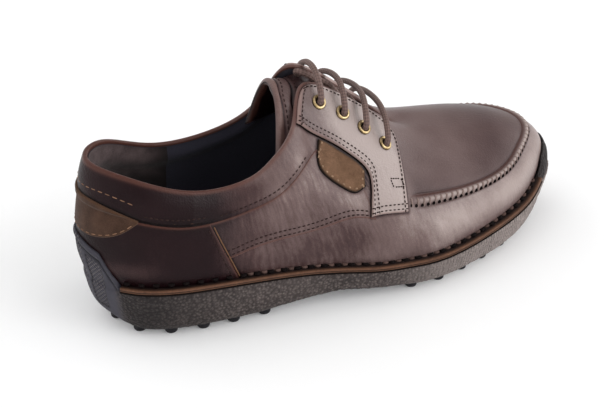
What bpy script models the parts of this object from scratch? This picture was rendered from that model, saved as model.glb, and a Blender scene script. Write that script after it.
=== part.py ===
"""Right lace-up shoe of brown leather with an apron toe and a studded rubber sole.

Every piece is worked out from the shoe's last: a loop of ribs that run from the feather edge,
where the upper meets the sole, up to the rim of the collar and throat. Sizes are millimetres
until a mesh is made. The toe points to +X, the medial side is +Y and the floor is Z = 0.
"""

import math

import bmesh
import bpy
import numpy as np
from mathutils import Matrix, Vector

MM = 0.001
COLLECTION_NAME = "leather_shoe"
SHARP_ANGLE = math.radians(40.0)
MERGE_DISTANCE = 0.00001

# The last: one row for each rib, from the heel along the lateral side to the toe and back.
# Feather is the lower end of a rib and rim its upper end. Bulge and wall steer how the rib leaves
# the feather, lean and drop how it arrives at the rim. Seam is the place along the rib, from 0 to 1,
# of the collar band's lower edge and, round the toe, of the apron seam.
LAST_COLUMNS = ("feather_x", "feather_y", "rim_x", "rim_y", "rim_z", "bulge", "wall", "lean", "drop", "seam")
LAST_TABLE = {
    "heel_back": (10, 0, 14, 0, 96, 8, 24, 3, 22, 0.67),
    "heel_lateral": (24, -27, 29, -21, 92, 6, 24, 4, 20, 0.66),
    "quarter_lateral": (53, -39, 60, -28, 80, 4, 20, 4, 14, 0.64),
    "collar_lateral": (92, -42, 90, -28, 79, 4, 16, 4, 12, 0.70),
    "instep_lateral": (120, -43, 106, -28, 88, 4, 17, 6, 16, 0.73),
    "junction_lateral": (142, -46, 123, -18, 101, 3, 20, 10, 20, 0.76),
    "corner_lateral": (160, -50, 137, 0, 114, 3, 22, 16, 20, 0.62),
    "facing_lateral": (179, -52, 163, -1, 101, 3, 20, 24, 20, 0.45),
    "throat_lateral": (206, -51, 183, -1, 86, 3, 22, 30, 24, 0.45),
    "ball_lateral": (254, -35, 190, 2, 80, 4, 28, 50, 27, 0.40),
    "toe_lateral": (281, -16, 193, 4, 77, 6, 32, 58, 19, 0.38),
    "toe_tip": (298, 4, 194, 7, 76, 7, 34, 62, 14, 0.37),
    "toe_medial": (292, 26, 193, 10, 77, 9, 35, 62, 12, 0.38),
    "ball_medial": (264, 44, 190, 12, 80, 7, 35, 56, 16, 0.41),
    "throat_medial": (215, 53, 183, 15, 86, 4, 28, 32, 19, 0.41),
    "facing_medial": (182, 46, 163, 15, 102, 3, 24, 22, 16, 0.42),
    "corner_medial": (161, 39, 135, 14, 120, 3, 26, 14, 20, 0.62),
    "junction_medial": (141, 35, 125, 27, 101, 3, 22, 8, 20, 0.76),
    "instep_medial": (118, 34, 113, 31, 86.5, 4, 20, 5, 16, 0.73),
    "collar_medial": (92, 35, 91, 32, 79, 4, 18, 4, 12, 0.66),
    "quarter_medial": (58, 35, 58, 30, 80, 4, 20, 4, 14, 0.61),
    "heel_medial": (28, 27, 29, 21, 93, 6, 24, 4, 20, 0.65),
}
RIBS = len(LAST_TABLE)
TOE_RIB = list(LAST_TABLE).index("toe_tip")
RIM_PULL = 10.0
# Sections round the last, and how the last is sampled to place them and to find slopes and lengths
STATIONS = 64
TURN_WEIGHT = 14.0
FINE_STEPS = 800
LENGTH_STEPS = 8
RIB_STEP = 0.002
SURFACE_STEP = 0.004

# The sole: height of its top and of its tread, by distance from the heel
SOLE_TOP = {0: 31, 40: 30.5, 80: 29, 120: 25, 160: 20.5, 200: 20, 240: 22.5, 270: 25.5, 300: 31}
TREAD = {
    0: 14, 10: 7.5, 20: 4.6, 30: 4, 92: 4, 112: 5.5, 138: 7.5, 164: 5.5, 184: 4,
    244: 4, 262: 5.6, 280: 9, 300: 16}
SEAT_GAP = 0.3
# Rings of the sole's side: how far each stands out from the feather, how much less it does so behind
# the raked heel, and its share of the side's height
SIDE_RINGS = {
    "tread_edge": (-0.5, 5.0, 0.0),
    "rolled_edge": (2.2, 4.5, 0.1),
    "lower_side": (4.2, 3.6, 0.36),
    "upper_side": (5.4, 3.2, 0.72),
    "side_lip": (5.7, 3.2, 0.9),
}
HEEL_RAKE = (0.45, 1.35)
FLOOR_RING = -7.0
# Wraps: how far the rubber climbs the ribs at the heel and the toe, by rib count from the middle
HEEL_WRAP = {0.0: 0.36, 0.25: 0.345, 0.58: 0.29, 0.76: 0.12, 0.92: 0.0}
TOE_WRAP = {0.0: 0.155, 0.35: 0.15, 0.62: 0.12, 0.78: 0.05, 0.92: 0.0}
WRAP_STEPS = (0.0, 0.35, 0.7, 1.0)
LEDGE_OUTER = 5.0
TOE_WRAP_FOOT = 5.2
TOE_WRAP_EDGE = 1.5
HEEL_WRAP_FOOT = 2.2
HEEL_WRAP_EDGE = 1.7
WRAP_GAP = 0.6
WRAP_FULL = 0.05
LEDGE_INNER = 0.9
LEDGE_FOLD = 0.3

STUD_RADIUS = 3.5
STUD_HEIGHT = 4.0
STUD_ROOT = 2.0
STUD_SIDES = 8
# Rows of studs: how far inside the tread's edge each runs, its pitch and where it starts
STUD_ROWS = {"edge": (3.9, 17.2, 8.0), "inner": (24.0, 19.5, 0.0)}
STUD_CLEARANCE = 13.65
ARCH_SPAN = (112.0, 172.0)

WELT_HEIGHT = 2.2
WELT_OVERHANG = 0.5
WELT_ROUND = 0.7
WELT_GAP = 0.45

# The upper: wall, padded collar band, rounded rim and raised apron seam
UPPER_WALL = 2.0
BAND_STEP = 0.7
BAND_STEP_WIDTH = 1.5
BAND_PUFF = 1.3
BAND_PAD = 2.4
RIM_ROUND = 0.9
RIM_APPROACH = 0.98
RIDGE_HEIGHT = 1.7
RIDGE_HALF_WIDTH = 2.4
COLLAR_END = (4.9, 5.4)
APRON_START = (7.35, 7.75)
# Where the upper's section has its points: below the seam, at the seam, above it and inside
LOWER_SHARES = (0.0, 0.14, 0.32, 0.52, 0.72, 0.88)
SEAM_STEPS = (-3.2, -1.4, 0.0, 1.4, 3.2)
UPPER_SHARES = (0.22, 0.46, 0.7, 0.9, 1.0)
INNER_SHARES = (0.94, 0.84, 0.72, 0.52, 0.3, 0.12, 0.0)

INSOLE_INSET = 3.4
INSOLE_HEIGHT = 4.0
INSOLE_CROWN_INSET = 9.0
INSOLE_CROWN = 0.6

# Tongue: rows under the facings, as rib, lowest share of the rib and crown, then its free rear edge
# as crown, half width and foot height
TONGUE_ROWS = {
    "front": (9.0, 0.90, 196.0, 70.5),
    "vamp": (8.4, 0.84, 189.0, 75.5),
    "fourth_bar": (7.7, 0.74, 177.0, 85.0),
    "third_bar": (7.1, 0.68, 165.0, 93.5),
    "second_bar": (6.6, 0.65, 153.0, 101.0),
    "top": (6.1, 0.64, 141.0, 107.5),
    "shoulder": (5.66, 0.69, 131.0, 112.0),
}
TONGUE_REAR = (119.2, 116.0, 21.0, 84.0)
TONGUE_MIDDLE = 7.0
TONGUE_FLANK_TOP = 0.93
TONGUE_FLANK_POINTS = 4
TONGUE_GAP = 0.95
TONGUE_THICKNESS = 2.6
TONGUE_FOOT_SHIFT = 3.0
TONGUE_LATERAL_PULL = 6.2
TONGUE_MEDIAL_PULL = 8.2
TONGUE_ROUNDNESS = 2.6

# Overlays on the upper. The columns are the rib and the share along it at the outer edge, then the
# same at the throat edge
EYESTAY_LATERAL = {
    "rear": (5.05, 0.985, 5.93, 0.985),
    "first_eyelet": (5.5, 0.785, 6.35, 0.985),
    "second_eyelet": (5.97, 0.67, 6.8, 0.985),
    "third_eyelet": (6.35, 0.605, 7.32, 0.985),
    "bend": (6.54, 0.55, 7.9, 0.93),
    "knee": (6.46, 0.47, 7.78, 0.79),
    "leg": (6.33, 0.41, 7.5, 0.61),
    "foot": (6.12, 0.32, 7.2, 0.37),
}
EYESTAY_MEDIAL = {
    "rear": (4.97, 0.985, 5.93, 0.985),
    "first_eyelet": (5.42, 0.75, 6.35, 0.985),
    "second_eyelet": (5.9, 0.61, 6.8, 0.985),
    "third_eyelet": (6.28, 0.53, 7.32, 0.985),
    "bend": (6.5, 0.47, 7.9, 0.93),
    "knee": (6.45, 0.39, 7.82, 0.75),
    "leg": (6.33, 0.33, 7.55, 0.54),
    "foot": (6.12, 0.24, 7.22, 0.28),
}
EYESTAY_THICKNESS = 1.2
EYESTAY_GRID = (15, 7)
QUARTER_PATCH_TABLE = {
    "rear": (5.33, 0.705, 5.6, 0.735),
    "rear_low": (5.22, 0.65, 5.8, 0.69),
    "middle": (5.42, 0.55, 6.0, 0.645),
    "front_low": (5.77, 0.465, 6.2, 0.61),
    "front": (6.04, 0.445, 6.38, 0.58),
    "front_edge": (6.32, 0.475, 6.46, 0.545),
}
QUARTER_PATCH_GRID = (11, 5)
# The heel patch is even about the back. The columns are the rib, then the shares at its two edges
HEEL_PATCH_TABLE = {
    "back": (0.0, 0.41, 0.74),
    "corner": (0.4, 0.415, 0.74),
    "side": (0.8, 0.465, 0.71),
    "taper": (1.05, 0.545, 0.68),
    "point": (1.22, 0.63, 0.655),
}
HEEL_PATCH_GRID = (17, 5)
PATCH_THICKNESS = 0.8
OVERLAY_GAP = 0.6

# Eyelets from the top down, as rib and share along it
EYELET_LATERAL = {1: (6.10, 0.87), 2: (6.56, 0.835), 3: (6.92, 0.80), 4: (7.33, 0.76)}
EYELET_MEDIAL = {1: (6.14, 0.82), 2: (6.56, 0.785), 3: (6.97, 0.745), 4: (7.38, 0.7)}
EYELET_FLANGE_RADIUS = 4.2
EYELET_HOLE_RADIUS = 2.2
EYELET_BARREL_RADIUS = 2.7
EYELET_FLANGE = 0.9
EYELET_FLANGE_EDGE = 0.4
EYELET_FLANGE_LIP = 0.55
EYELET_BARREL = 3.6
EYELET_SIDES = 8
EYELET_CUT_RADIUS = 3.1
EYELET_CUT_DEPTH = 7.0
EYELET_GAP = 0.35
EYELET_LIFT = OVERLAY_GAP + EYESTAY_THICKNESS + EYELET_GAP

# Lace bars: how a bar leaves an eyelet, then the crest of each over the throat, as its x and z
LACE_RADIUS = 1.75
LACE_DEPTH = 2.4
LACE_SEAT = 0.1
LACE_EXIT = 2.0
LACE_CLIMB = 3.0
LACE_CLIMB_ANGLE = math.radians(60.0)
LACE_STAND_OFF = 3.2
LACE_CREST = {1: (144.5, 120.5), 2: (159.0, 111.0), 3: (172.5, 101.5), 4: (183.0, 93.5)}
LACE_CREST_Y = 11.0
LACE_STEPS = (1, 2, 4, 4, 2, 1)

# Materials: linear colour, roughness and metallic value
COLOURS = {
    "leather": ((0.115, 0.070, 0.060), 0.42, 0.0),
    "nubuck": ((0.160, 0.095, 0.045), 0.9, 0.0),
    "rubber": ((0.050, 0.042, 0.038), 0.85, 0.0),
    "welt_leather": ((0.235, 0.115, 0.060), 0.6, 0.0),
    "lining": ((0.020, 0.021, 0.028), 0.8, 0.0),
    "brass": ((0.420, 0.290, 0.120), 0.38, 1.0),
    "lace": ((0.190, 0.135, 0.115), 0.75, 0.0),
}

LAST_ROWS = np.array(list(LAST_TABLE.values()), float)


def smooth_step(value):
    clipped = np.clip(value, 0.0, 1.0)
    return clipped * clipped * (3.0 - 2.0 * clipped)


def loop_slopes(values):
    """Slopes at the rows of a smooth closed curve through them."""
    count = len(values)
    identity = np.eye(count)
    matrix = 4.0 * identity + np.roll(identity, 1, 0) + np.roll(identity, -1, 0)
    return np.linalg.solve(matrix, 3.0 * (np.roll(values, -1, 0) - np.roll(values, 1, 0)))


LAST_SLOPES = loop_slopes(LAST_ROWS)


def last_value(name, rib):
    """A column of the last at any place along the loop of ribs."""
    index = LAST_COLUMNS.index(name)
    lower = np.floor(rib).astype(int)
    share = rib - lower
    first = lower % RIBS
    second = (first + 1) % RIBS
    rest = 1.0 - share
    start = (1.0 + 2.0 * share) * rest ** 2 * LAST_ROWS[first, index]
    end = share ** 2 * (3.0 - 2.0 * share) * LAST_ROWS[second, index]
    leaving = share * rest ** 2 * LAST_SLOPES[first, index]
    arriving = share ** 2 * rest * LAST_SLOPES[second, index]
    return start + end + leaving - arriving


def open_slopes(places, values):
    """Slopes at the points of a smooth open curve whose ends are straight."""
    count = len(places)
    spans = np.diff(places)
    matrix = np.eye(count)
    right_side = np.zeros((count,) + values.shape[1:])
    chords = (np.diff(values, axis=0).T / spans).T
    matrix[0, :2] = (2.0, 1.0)
    matrix[-1, -2:] = (1.0, 2.0)
    right_side[0] = 3.0 * chords[0]
    right_side[-1] = 3.0 * chords[-1]
    for row in range(1, count - 1):
        matrix[row, row - 1:row + 2] = (spans[row], 2.0 * (spans[row - 1] + spans[row]), spans[row - 1])
        right_side[row] = 3.0 * (spans[row] * chords[row - 1] + spans[row - 1] * chords[row])
    return np.linalg.solve(matrix, right_side)


def open_curve(places, values, wanted):
    """A smooth open curve through values at the given places, read at the wanted places."""
    places = np.asarray(places, float)
    values = np.asarray(values, float)
    wanted = np.clip(np.asarray(wanted, float), places[0], places[-1])
    slopes = open_slopes(places, values)
    lower = np.clip(np.searchsorted(places, wanted, side="right") - 1, 0, len(places) - 2)
    span = places[lower + 1] - places[lower]
    share = (wanted - places[lower]) / span
    if values.ndim > 1:
        share = share[..., None]
        span = span[..., None]
    rest = 1.0 - share
    start = (1.0 + 2.0 * share) * rest ** 2 * values[lower] + share * rest ** 2 * span * slopes[lower]
    end = share ** 2 * (3.0 - 2.0 * share) * values[lower + 1]
    return start + end - share ** 2 * rest * span * slopes[lower + 1]


def sole_top(x):
    return open_curve(list(SOLE_TOP), list(SOLE_TOP.values()), x)


def tread_height(x):
    return np.interp(x, list(TREAD), list(TREAD.values()))


def plan_normal(rib):
    """Outward direction of the feather line, seen from above."""
    before = rib - RIB_STEP
    after = rib + RIB_STEP
    along_x = last_value("feather_x", after) - last_value("feather_x", before)
    along_y = last_value("feather_y", after) - last_value("feather_y", before)
    length = np.hypot(along_x, along_y)
    return along_y / length, -along_x / length


def rib_point(rib, share):
    """A point of the last, on a curved rib from the feather to the rim."""
    rib, share = np.broadcast_arrays(np.asarray(rib, float), np.asarray(share, float))
    feather_x = last_value("feather_x", rib)
    feather_y = last_value("feather_y", rib)
    feather_z = sole_top(feather_x)
    rim_x = last_value("rim_x", rib)
    rim_y = last_value("rim_y", rib)
    rim_z = last_value("rim_z", rib)
    normal_x, normal_y = plan_normal(rib)
    out_x = feather_x - rim_x + RIM_PULL * normal_x
    out_y = feather_y - rim_y + RIM_PULL * normal_y
    lean = last_value("lean", rib) / np.hypot(out_x, out_y)
    bulge = last_value("bulge", rib)
    feather = np.stack([feather_x, feather_y, feather_z], -1)
    leaving = np.stack([bulge * normal_x, bulge * normal_y, last_value("wall", rib)], -1) + feather
    rim = np.stack([rim_x, rim_y, rim_z], -1)
    arriving = np.stack([lean * out_x, lean * out_y, -last_value("drop", rib)], -1) + rim
    up = share[..., None]
    down = 1.0 - up
    ends = down ** 3 * feather + up ** 3 * rim
    return ends + 3.0 * down * up * (down * leaving + up * arriving)


def last_normal(rib, share):
    along = rib_point(rib + SURFACE_STEP, share) - rib_point(rib - SURFACE_STEP, share)
    upward = rib_point(rib, share + SURFACE_STEP) - rib_point(rib, share - SURFACE_STEP)
    normal = np.cross(along, upward)
    return normal / np.linalg.norm(normal, axis=-1, keepdims=True)


def rib_length(rib):
    points = rib_point(np.asarray(rib)[..., None], np.linspace(0.0, 1.0, LENGTH_STEPS + 1))
    return np.linalg.norm(np.diff(points, axis=-2), axis=-1).sum(-1)


def ribs_from_heel(rib):
    return np.minimum(rib % RIBS, RIBS - rib % RIBS)


def band_share(rib, share):
    """Place across the padded collar band: 0 at its lower edge, 1 at the rim."""
    seam = last_value("seam", rib)
    return np.clip((share - seam) / (1.0 - seam), 0.0, 1.0)


def collar_amount(rib):
    start, end = COLLAR_END
    return 1.0 - smooth_step((ribs_from_heel(rib) - start) / (end - start))


def relief(rib, share):
    """How far the leather stands out from the last at the collar band and the apron seam."""
    start, end = APRON_START
    distance = (share - last_value("seam", rib)) * rib_length(rib)
    across = band_share(rib, share)
    band = BAND_STEP * smooth_step(distance / BAND_STEP_WIDTH) + BAND_PUFF * np.sin(math.pi * across)
    ridge = RIDGE_HEIGHT * np.exp(-(distance / RIDGE_HALF_WIDTH) ** 2)
    return collar_amount(rib) * band + smooth_step((ribs_from_heel(rib) - start) / (end - start)) * ridge


def surface(rib, share, lift=0.0):
    """A point of the upper's outer face, or one that stands off it."""
    rib, share = np.broadcast_arrays(np.asarray(rib, float), np.asarray(share, float))
    stand_off = relief(rib, share) + lift
    return rib_point(rib, share) + last_normal(rib, share) * stand_off[..., None]


def inner_surface(rib, share, clearance=0.0):
    """A point of the upper's inner face, with the collar's padding, or one inside it."""
    rib, share = np.broadcast_arrays(np.asarray(rib, float), np.asarray(share, float))
    padding = BAND_PAD * collar_amount(rib) * np.sin(math.pi * band_share(rib, share)) ** 2
    depth = UPPER_WALL + padding + clearance
    return rib_point(rib, share) - last_normal(rib, share) * depth[..., None]


def half_stations(first, last):
    """Places along half the loop, spaced by the feather's length and by how much it turns."""
    fine = np.linspace(first, last, FINE_STEPS + 1)
    line = np.stack([last_value("feather_x", fine), last_value("feather_y", fine)], -1)
    normal_x, normal_y = plan_normal(fine)
    turning = np.abs(np.diff(np.unwrap(np.arctan2(normal_y, normal_x))))
    steps = np.linalg.norm(np.diff(line, axis=0), axis=1) + TURN_WEIGHT * turning
    travelled = np.concatenate([[0.0], np.cumsum(steps)])
    return np.interp(np.linspace(0.0, travelled[-1], STATIONS // 2 + 1), travelled, fine)


def station_ribs():
    lateral = half_stations(0.0, TOE_RIB)
    medial = half_stations(TOE_RIB, RIBS)
    return np.concatenate([lateral[:-1], medial[:-1]])


def make_material(name):
    colour, roughness, metallic = COLOURS[name]
    material = bpy.data.materials.new(name)
    material.use_nodes = True
    shader = material.node_tree.nodes["Principled BSDF"]
    shader.inputs["Base Color"].default_value = (*colour, 1.0)
    shader.inputs["Roughness"].default_value = roughness
    shader.inputs["Metallic"].default_value = metallic
    material.diffuse_color = (*colour, 1.0)
    return material


def add_object(name, mesh, material, collection, parent):
    item = bpy.data.objects.new(name, mesh)
    item.data.materials.append(material)
    item.parent = parent
    collection.objects.link(item)
    return item


def loft_mesh(name, rings, close_rings, close_loop, cap_ends=False):
    """A mesh lofted through rings of points, closed along each ring, round the loop, or capped."""
    rings = np.asarray(rings, float)
    ring_count, point_count = rings.shape[:2]
    bm = bmesh.new()
    rows = [[bm.verts.new(Vector(point) * MM) for point in ring] for ring in rings]
    for ring in range(ring_count if close_loop else ring_count - 1):
        following = rows[(ring + 1) % ring_count]
        for place in range(point_count if close_rings else point_count - 1):
            after = (place + 1) % point_count
            bm.faces.new((rows[ring][place], rows[ring][after], following[after], following[place]))
    if cap_ends:
        bm.faces.new(rows[0])
        bm.faces.new(rows[-1])
    bmesh.ops.recalc_face_normals(bm, faces=bm.faces)
    return finish_mesh(name, bm)


def bridge_mesh(name, rings):
    """A closed solid of stacked rings whose first and last are filled straight across the shoe."""
    rings = np.asarray(rings, float)
    point_count = rings.shape[1]
    half = point_count // 2
    bm = bmesh.new()
    rows = [[bm.verts.new(Vector(point) * MM) for point in ring] for ring in rings]
    for lower, upper in zip(rows[:-1], rows[1:]):
        for place in range(point_count):
            after = (place + 1) % point_count
            bm.faces.new((lower[place], lower[after], upper[after], upper[place]))
    for row in (rows[0], rows[-1]):
        bm.faces.new((row[0], row[1], row[-1]))
        for place in range(1, half - 1):
            bm.faces.new((row[place], row[place + 1], row[point_count - place - 1], row[point_count - place]))
        bm.faces.new((row[half - 1], row[half], row[half + 1]))
    bmesh.ops.recalc_face_normals(bm, faces=bm.faces)
    return finish_mesh(name, bm)


def finish_mesh(name, bm):
    mesh = bpy.data.meshes.new(name)
    bm.to_mesh(mesh)
    bm.free()
    mesh.shade_smooth()
    mesh.set_sharp_from_angle(angle=SHARP_ANGLE)
    return mesh


def sheet_mesh(name, points):
    """An open sheet whose faces look away from the foot, ready for a thickness."""
    mesh = loft_mesh(name, points, close_rings=False, close_loop=False)
    middle = np.asarray(points)[len(points) // 2][len(points[0]) // 2]
    centre = Vector((middle[0], 0.0, middle[2] / 2.0)) * MM
    outward = sum(face.normal.dot(face.center - centre) for face in mesh.polygons)
    if outward < 0.0:
        mesh.flip_normals()
    return mesh


def add_thickness(item, thickness, outward):
    modifier = item.modifiers.new("thickness", "SOLIDIFY")
    modifier.thickness = thickness * MM
    modifier.offset = 1.0 if outward else -1.0
    modifier.use_even_offset = True


def add_boolean(item, other, operation):
    modifier = item.modifiers.new(operation.lower(), "BOOLEAN")
    modifier.operation = operation
    modifier.object = other
    modifier.solver = "EXACT"


def wrap_share(rib):
    """How far the sole's rubber climbs a rib at the heel and at the toe."""
    from_heel = ribs_from_heel(rib)
    from_toe = np.abs(rib - TOE_RIB)
    heel = np.interp(from_heel, list(HEEL_WRAP), list(HEEL_WRAP.values()))
    toe = np.interp(from_toe, list(TOE_WRAP), list(TOE_WRAP.values()))
    return np.where(from_heel < RIBS / 4, heel, toe)


def feather_ring(ribs, offset, heights):
    normal_x, normal_y = plan_normal(ribs)
    x = last_value("feather_x", ribs) + offset * normal_x
    y = last_value("feather_y", ribs) + offset * normal_y
    return np.stack([x, y, np.broadcast_to(heights, x.shape)], -1)


def heel_amount(ribs):
    start, end = HEEL_RAKE
    return smooth_step((end - ribs_from_heel(ribs)) / (end - start))


def side_ring(ribs, offset, heel_pull, height_share):
    ring = feather_ring(ribs, offset - heel_pull * heel_amount(ribs), 0.0)
    tread = tread_height(ring[:, 0])
    top = sole_top(last_value("feather_x", ribs)) - SEAT_GAP
    ring[:, 2] = tread + height_share * (top - tread)
    return ring


def wrap_ring(ribs, step, ledge_offset, wrap_offset):
    """A ring that lies on the ledge along the sides and climbs the ribs at the heel and toe."""
    climb = wrap_share(ribs)
    climbing = smooth_step(climb / WRAP_FULL)
    offset = ledge_offset + climbing * (wrap_offset - ledge_offset)
    flat = feather_ring(ribs, ledge_offset, sole_top(last_value("feather_x", ribs)) - SEAT_GAP)
    risen = rib_point(ribs, step * climb) + last_normal(ribs, step * climb) * offset[:, None]
    risen[:, 2] -= SEAT_GAP
    return flat + climbing[:, None] * (risen - flat)


def sole_rings(ribs):
    rings = [side_ring(ribs, *ring) for ring in SIDE_RINGS.values()]
    for step in WRAP_STEPS:
        ledge = LEDGE_OUTER + step * (LEDGE_INNER - LEDGE_OUTER)
        toe = TOE_WRAP_FOOT + step * (TOE_WRAP_EDGE - TOE_WRAP_FOOT)
        heel = HEEL_WRAP_FOOT + step * (HEEL_WRAP_EDGE - HEEL_WRAP_FOOT)
        rings.append(wrap_ring(ribs, step, ledge, toe + heel_amount(ribs) * (heel - toe)))
    for step in reversed(WRAP_STEPS):
        rings.append(wrap_ring(ribs, step, WRAP_GAP + step * LEDGE_FOLD, WRAP_GAP))
    rings.append(feather_ring(ribs, FLOOR_RING, sole_top(last_value("feather_x", ribs)) - SEAT_GAP))
    return rings


def stud_places():
    """Centres of the studs: a row along the sole's edge and one further in."""
    fine = np.linspace(0.0, RIBS, 2 * FINE_STEPS, endpoint=False)
    tread_offset, tread_pull, _ = SIDE_RINGS["tread_edge"]
    places = []
    for inset, pitch, start in STUD_ROWS.values():
        ring = side_ring(fine, tread_offset - inset, tread_pull, 0.0)
        steps = np.linalg.norm(np.diff(ring, axis=0, append=ring[:1]), axis=1)
        count = int(steps.sum() / pitch)
        travelled = np.cumsum(steps) - steps[0]
        for target in start + np.arange(count) * steps.sum() / count:
            x, y, _ = ring[np.searchsorted(travelled, target)]
            clear = all(math.hypot(x - other[0], y - other[1]) > STUD_CLEARANCE for other in places)
            if clear and not ARCH_SPAN[0] < x < ARCH_SPAN[1]:
                places.append((x, y))
    return places


def make_studs(collection, material, parent):
    bm = bmesh.new()
    for x, y in stud_places():
        low = float(tread_height(x)) - STUD_HEIGHT
        depth = STUD_HEIGHT + STUD_ROOT
        place = Matrix.Translation(Vector((x, y, low + depth / 2.0)) * MM)
        bmesh.ops.create_cone(
            bm, cap_ends=True, segments=STUD_SIDES, radius1=STUD_RADIUS * MM,
            radius2=STUD_RADIUS * MM, depth=depth * MM, matrix=place)
    studs = add_object("stud_forms", finish_mesh("stud_forms", bm), material, collection, parent)
    studs.hide_render = True
    studs.display_type = "WIRE"
    return studs


def make_outsole(ribs, collection, cutters, material, parent):
    outsole = add_object("outsole", bridge_mesh("outsole", sole_rings(ribs)), material, collection, parent)
    add_boolean(outsole, make_studs(cutters, material, parent), "UNION")
    return outsole


def welt_section(rib):
    """Corners of the welt strip across the ledge, at one place along the feather."""
    foot = float(sole_top(last_value("feather_x", np.array(rib))))
    normal_x, normal_y = plan_normal(np.array(rib))
    base = np.array([last_value("feather_x", np.array(rib)), last_value("feather_y", np.array(rib)), 0.0])
    outward = np.array([normal_x, normal_y, 0.0])
    edge = LEDGE_OUTER + WELT_OVERHANG
    share = WELT_HEIGHT / float(rib_length(np.array(rib)))
    lean = float((surface(rib, share) - base) @ outward)
    corners = (
        (WELT_GAP, 0.0), (edge, 0.0), (edge, WELT_HEIGHT - WELT_ROUND),
        (edge - WELT_ROUND, WELT_HEIGHT), (lean + WELT_GAP, WELT_HEIGHT))
    return [base + outward * out + np.array([0.0, 0.0, foot + up]) for out, up in corners]


def make_welt(name, ribs, collection, material, parent):
    """A strip on the sole's ledge, between the heel wrap and the toe wrap."""
    rings = [welt_section(rib) for rib in ribs if wrap_share(rib) == 0.0]
    mesh = loft_mesh(name, rings, close_rings=True, close_loop=False, cap_ends=True)
    return add_object(name, mesh, material, collection, parent)


def make_insole(ribs, collection, material, parent):
    floor = sole_top(last_value("feather_x", ribs))
    rings = [
        feather_ring(ribs, FLOOR_RING, floor),
        feather_ring(ribs, -INSOLE_INSET, floor),
        feather_ring(ribs, -INSOLE_INSET, floor + INSOLE_HEIGHT),
        feather_ring(ribs, -INSOLE_CROWN_INSET, floor + INSOLE_HEIGHT + INSOLE_CROWN),
    ]
    return add_object("insole", bridge_mesh("insole", rings), material, collection, parent)


def upper_section(rib):
    """The upper's cut outline at one rib: outer face, rounded rim and inner face."""
    rib = np.array(float(rib))
    seam = float(last_value("seam", rib))
    length = float(rib_length(rib))
    shares = [seam * share for share in LOWER_SHARES]
    shares += [seam + step / length for step in SEAM_STEPS]
    shares += [seam + (1.0 - seam) * share for share in UPPER_SHARES]
    outer = [surface(rib, share) for share in shares]
    inner = [inner_surface(rib, share) for share in (1.0,) + INNER_SHARES]
    rise = rib_point(rib, 1.0) - rib_point(rib, RIM_APPROACH)
    top = (outer[-1] + inner[0]) / 2.0 + rise / np.linalg.norm(rise) * RIM_ROUND
    return outer + [top] + inner


def make_upper(ribs, collection, material, parent):
    rings = [upper_section(rib) for rib in ribs]
    mesh = loft_mesh("upper", rings, close_rings=True, close_loop=True)
    return add_object("upper", mesh, material, collection, parent)


def tongue_row(rib, low_share, crown_x, crown_z):
    """Points across the tongue under the two facings, joined over a crown in the throat."""
    shares = np.linspace(low_share, TONGUE_FLANK_TOP, TONGUE_FLANK_POINTS)
    lateral = inner_surface(np.full(len(shares), rib), shares, TONGUE_GAP)
    medial = inner_surface(np.full(len(shares), RIBS - rib), shares, TONGUE_GAP)
    return np.concatenate([lateral, [[crown_x, TONGUE_MIDDLE, crown_z]], medial[::-1]])


def tongue_arch(crown_x, crown_z, half_width, foot_z):
    """Points across the free rear of the tongue, an arch whose feet lie further back than its crown."""
    side = np.linspace(-1.0, 1.0, 2 * TONGUE_FLANK_POINTS + 1)
    fall = np.abs(side) ** TONGUE_ROUNDNESS
    pull = np.where(side > 0.0, TONGUE_MEDIAL_PULL, TONGUE_LATERAL_PULL)
    x = crown_x - pull * fall
    y = TONGUE_MIDDLE - TONGUE_FOOT_SHIFT * fall + half_width * side
    return np.stack([x, y, crown_z + (foot_z - crown_z) * fall], -1)


def make_tongue(collection, material, parent):
    rows = [tongue_row(*row) for row in TONGUE_ROWS.values()]
    rows.append(tongue_arch(*TONGUE_REAR))
    count = len(rows)
    wanted = np.linspace(0, count - 1, 2 * count - 1)
    fine = open_curve(np.arange(count), np.reshape(rows, (count, -1)), wanted)
    points = fine.reshape(len(wanted), -1, 3)
    tongue = add_object("tongue", sheet_mesh("tongue", points), material, collection, parent)
    add_thickness(tongue, TONGUE_THICKNESS, outward=False)
    return tongue


def overlay_points(rows, grid):
    """Points on the upper, ruled between two edges that are given by rows of ribs and shares."""
    rows = np.array(list(rows), float)
    count_along, count_across = grid
    along = open_curve(np.arange(len(rows)), rows, np.linspace(0, len(rows) - 1, count_along))
    across = np.linspace(0.0, 1.0, count_across)
    ribs = along[:, 0:1] + (along[:, 2:3] - along[:, 0:1]) * across
    shares = along[:, 1:2] + (along[:, 3:4] - along[:, 1:2]) * across
    return surface(ribs, shares, OVERLAY_GAP)


def medial_rows(rows):
    return [(RIBS - row[0], row[1], RIBS - row[2], row[3]) for row in rows]


def make_overlay(name, rows, grid, thickness, collection, material, parent):
    mesh = sheet_mesh(name, overlay_points(rows, grid))
    overlay = add_object(name, mesh, material, collection, parent)
    add_thickness(overlay, thickness, outward=True)
    return overlay


def heel_patch_rows():
    lateral = [(rib, low, rib, top) for rib, low, top in HEEL_PATCH_TABLE.values()]
    medial = [(-rib, low, -rib, top) for rib, low, top in HEEL_PATCH_TABLE.values()][:0:-1]
    return medial + lateral


def eyelet_places():
    """Name, centre on the upper and outward direction of each eyelet."""
    wanted = {("lateral", number): place for number, place in EYELET_LATERAL.items()}
    wanted |= {("medial", number): (RIBS - rib, share) for number, (rib, share) in EYELET_MEDIAL.items()}
    places = {}
    for name, (rib, share) in wanted.items():
        places[name] = (surface(rib, share), last_normal(np.array(rib), np.array(share)))
    return places


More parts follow.
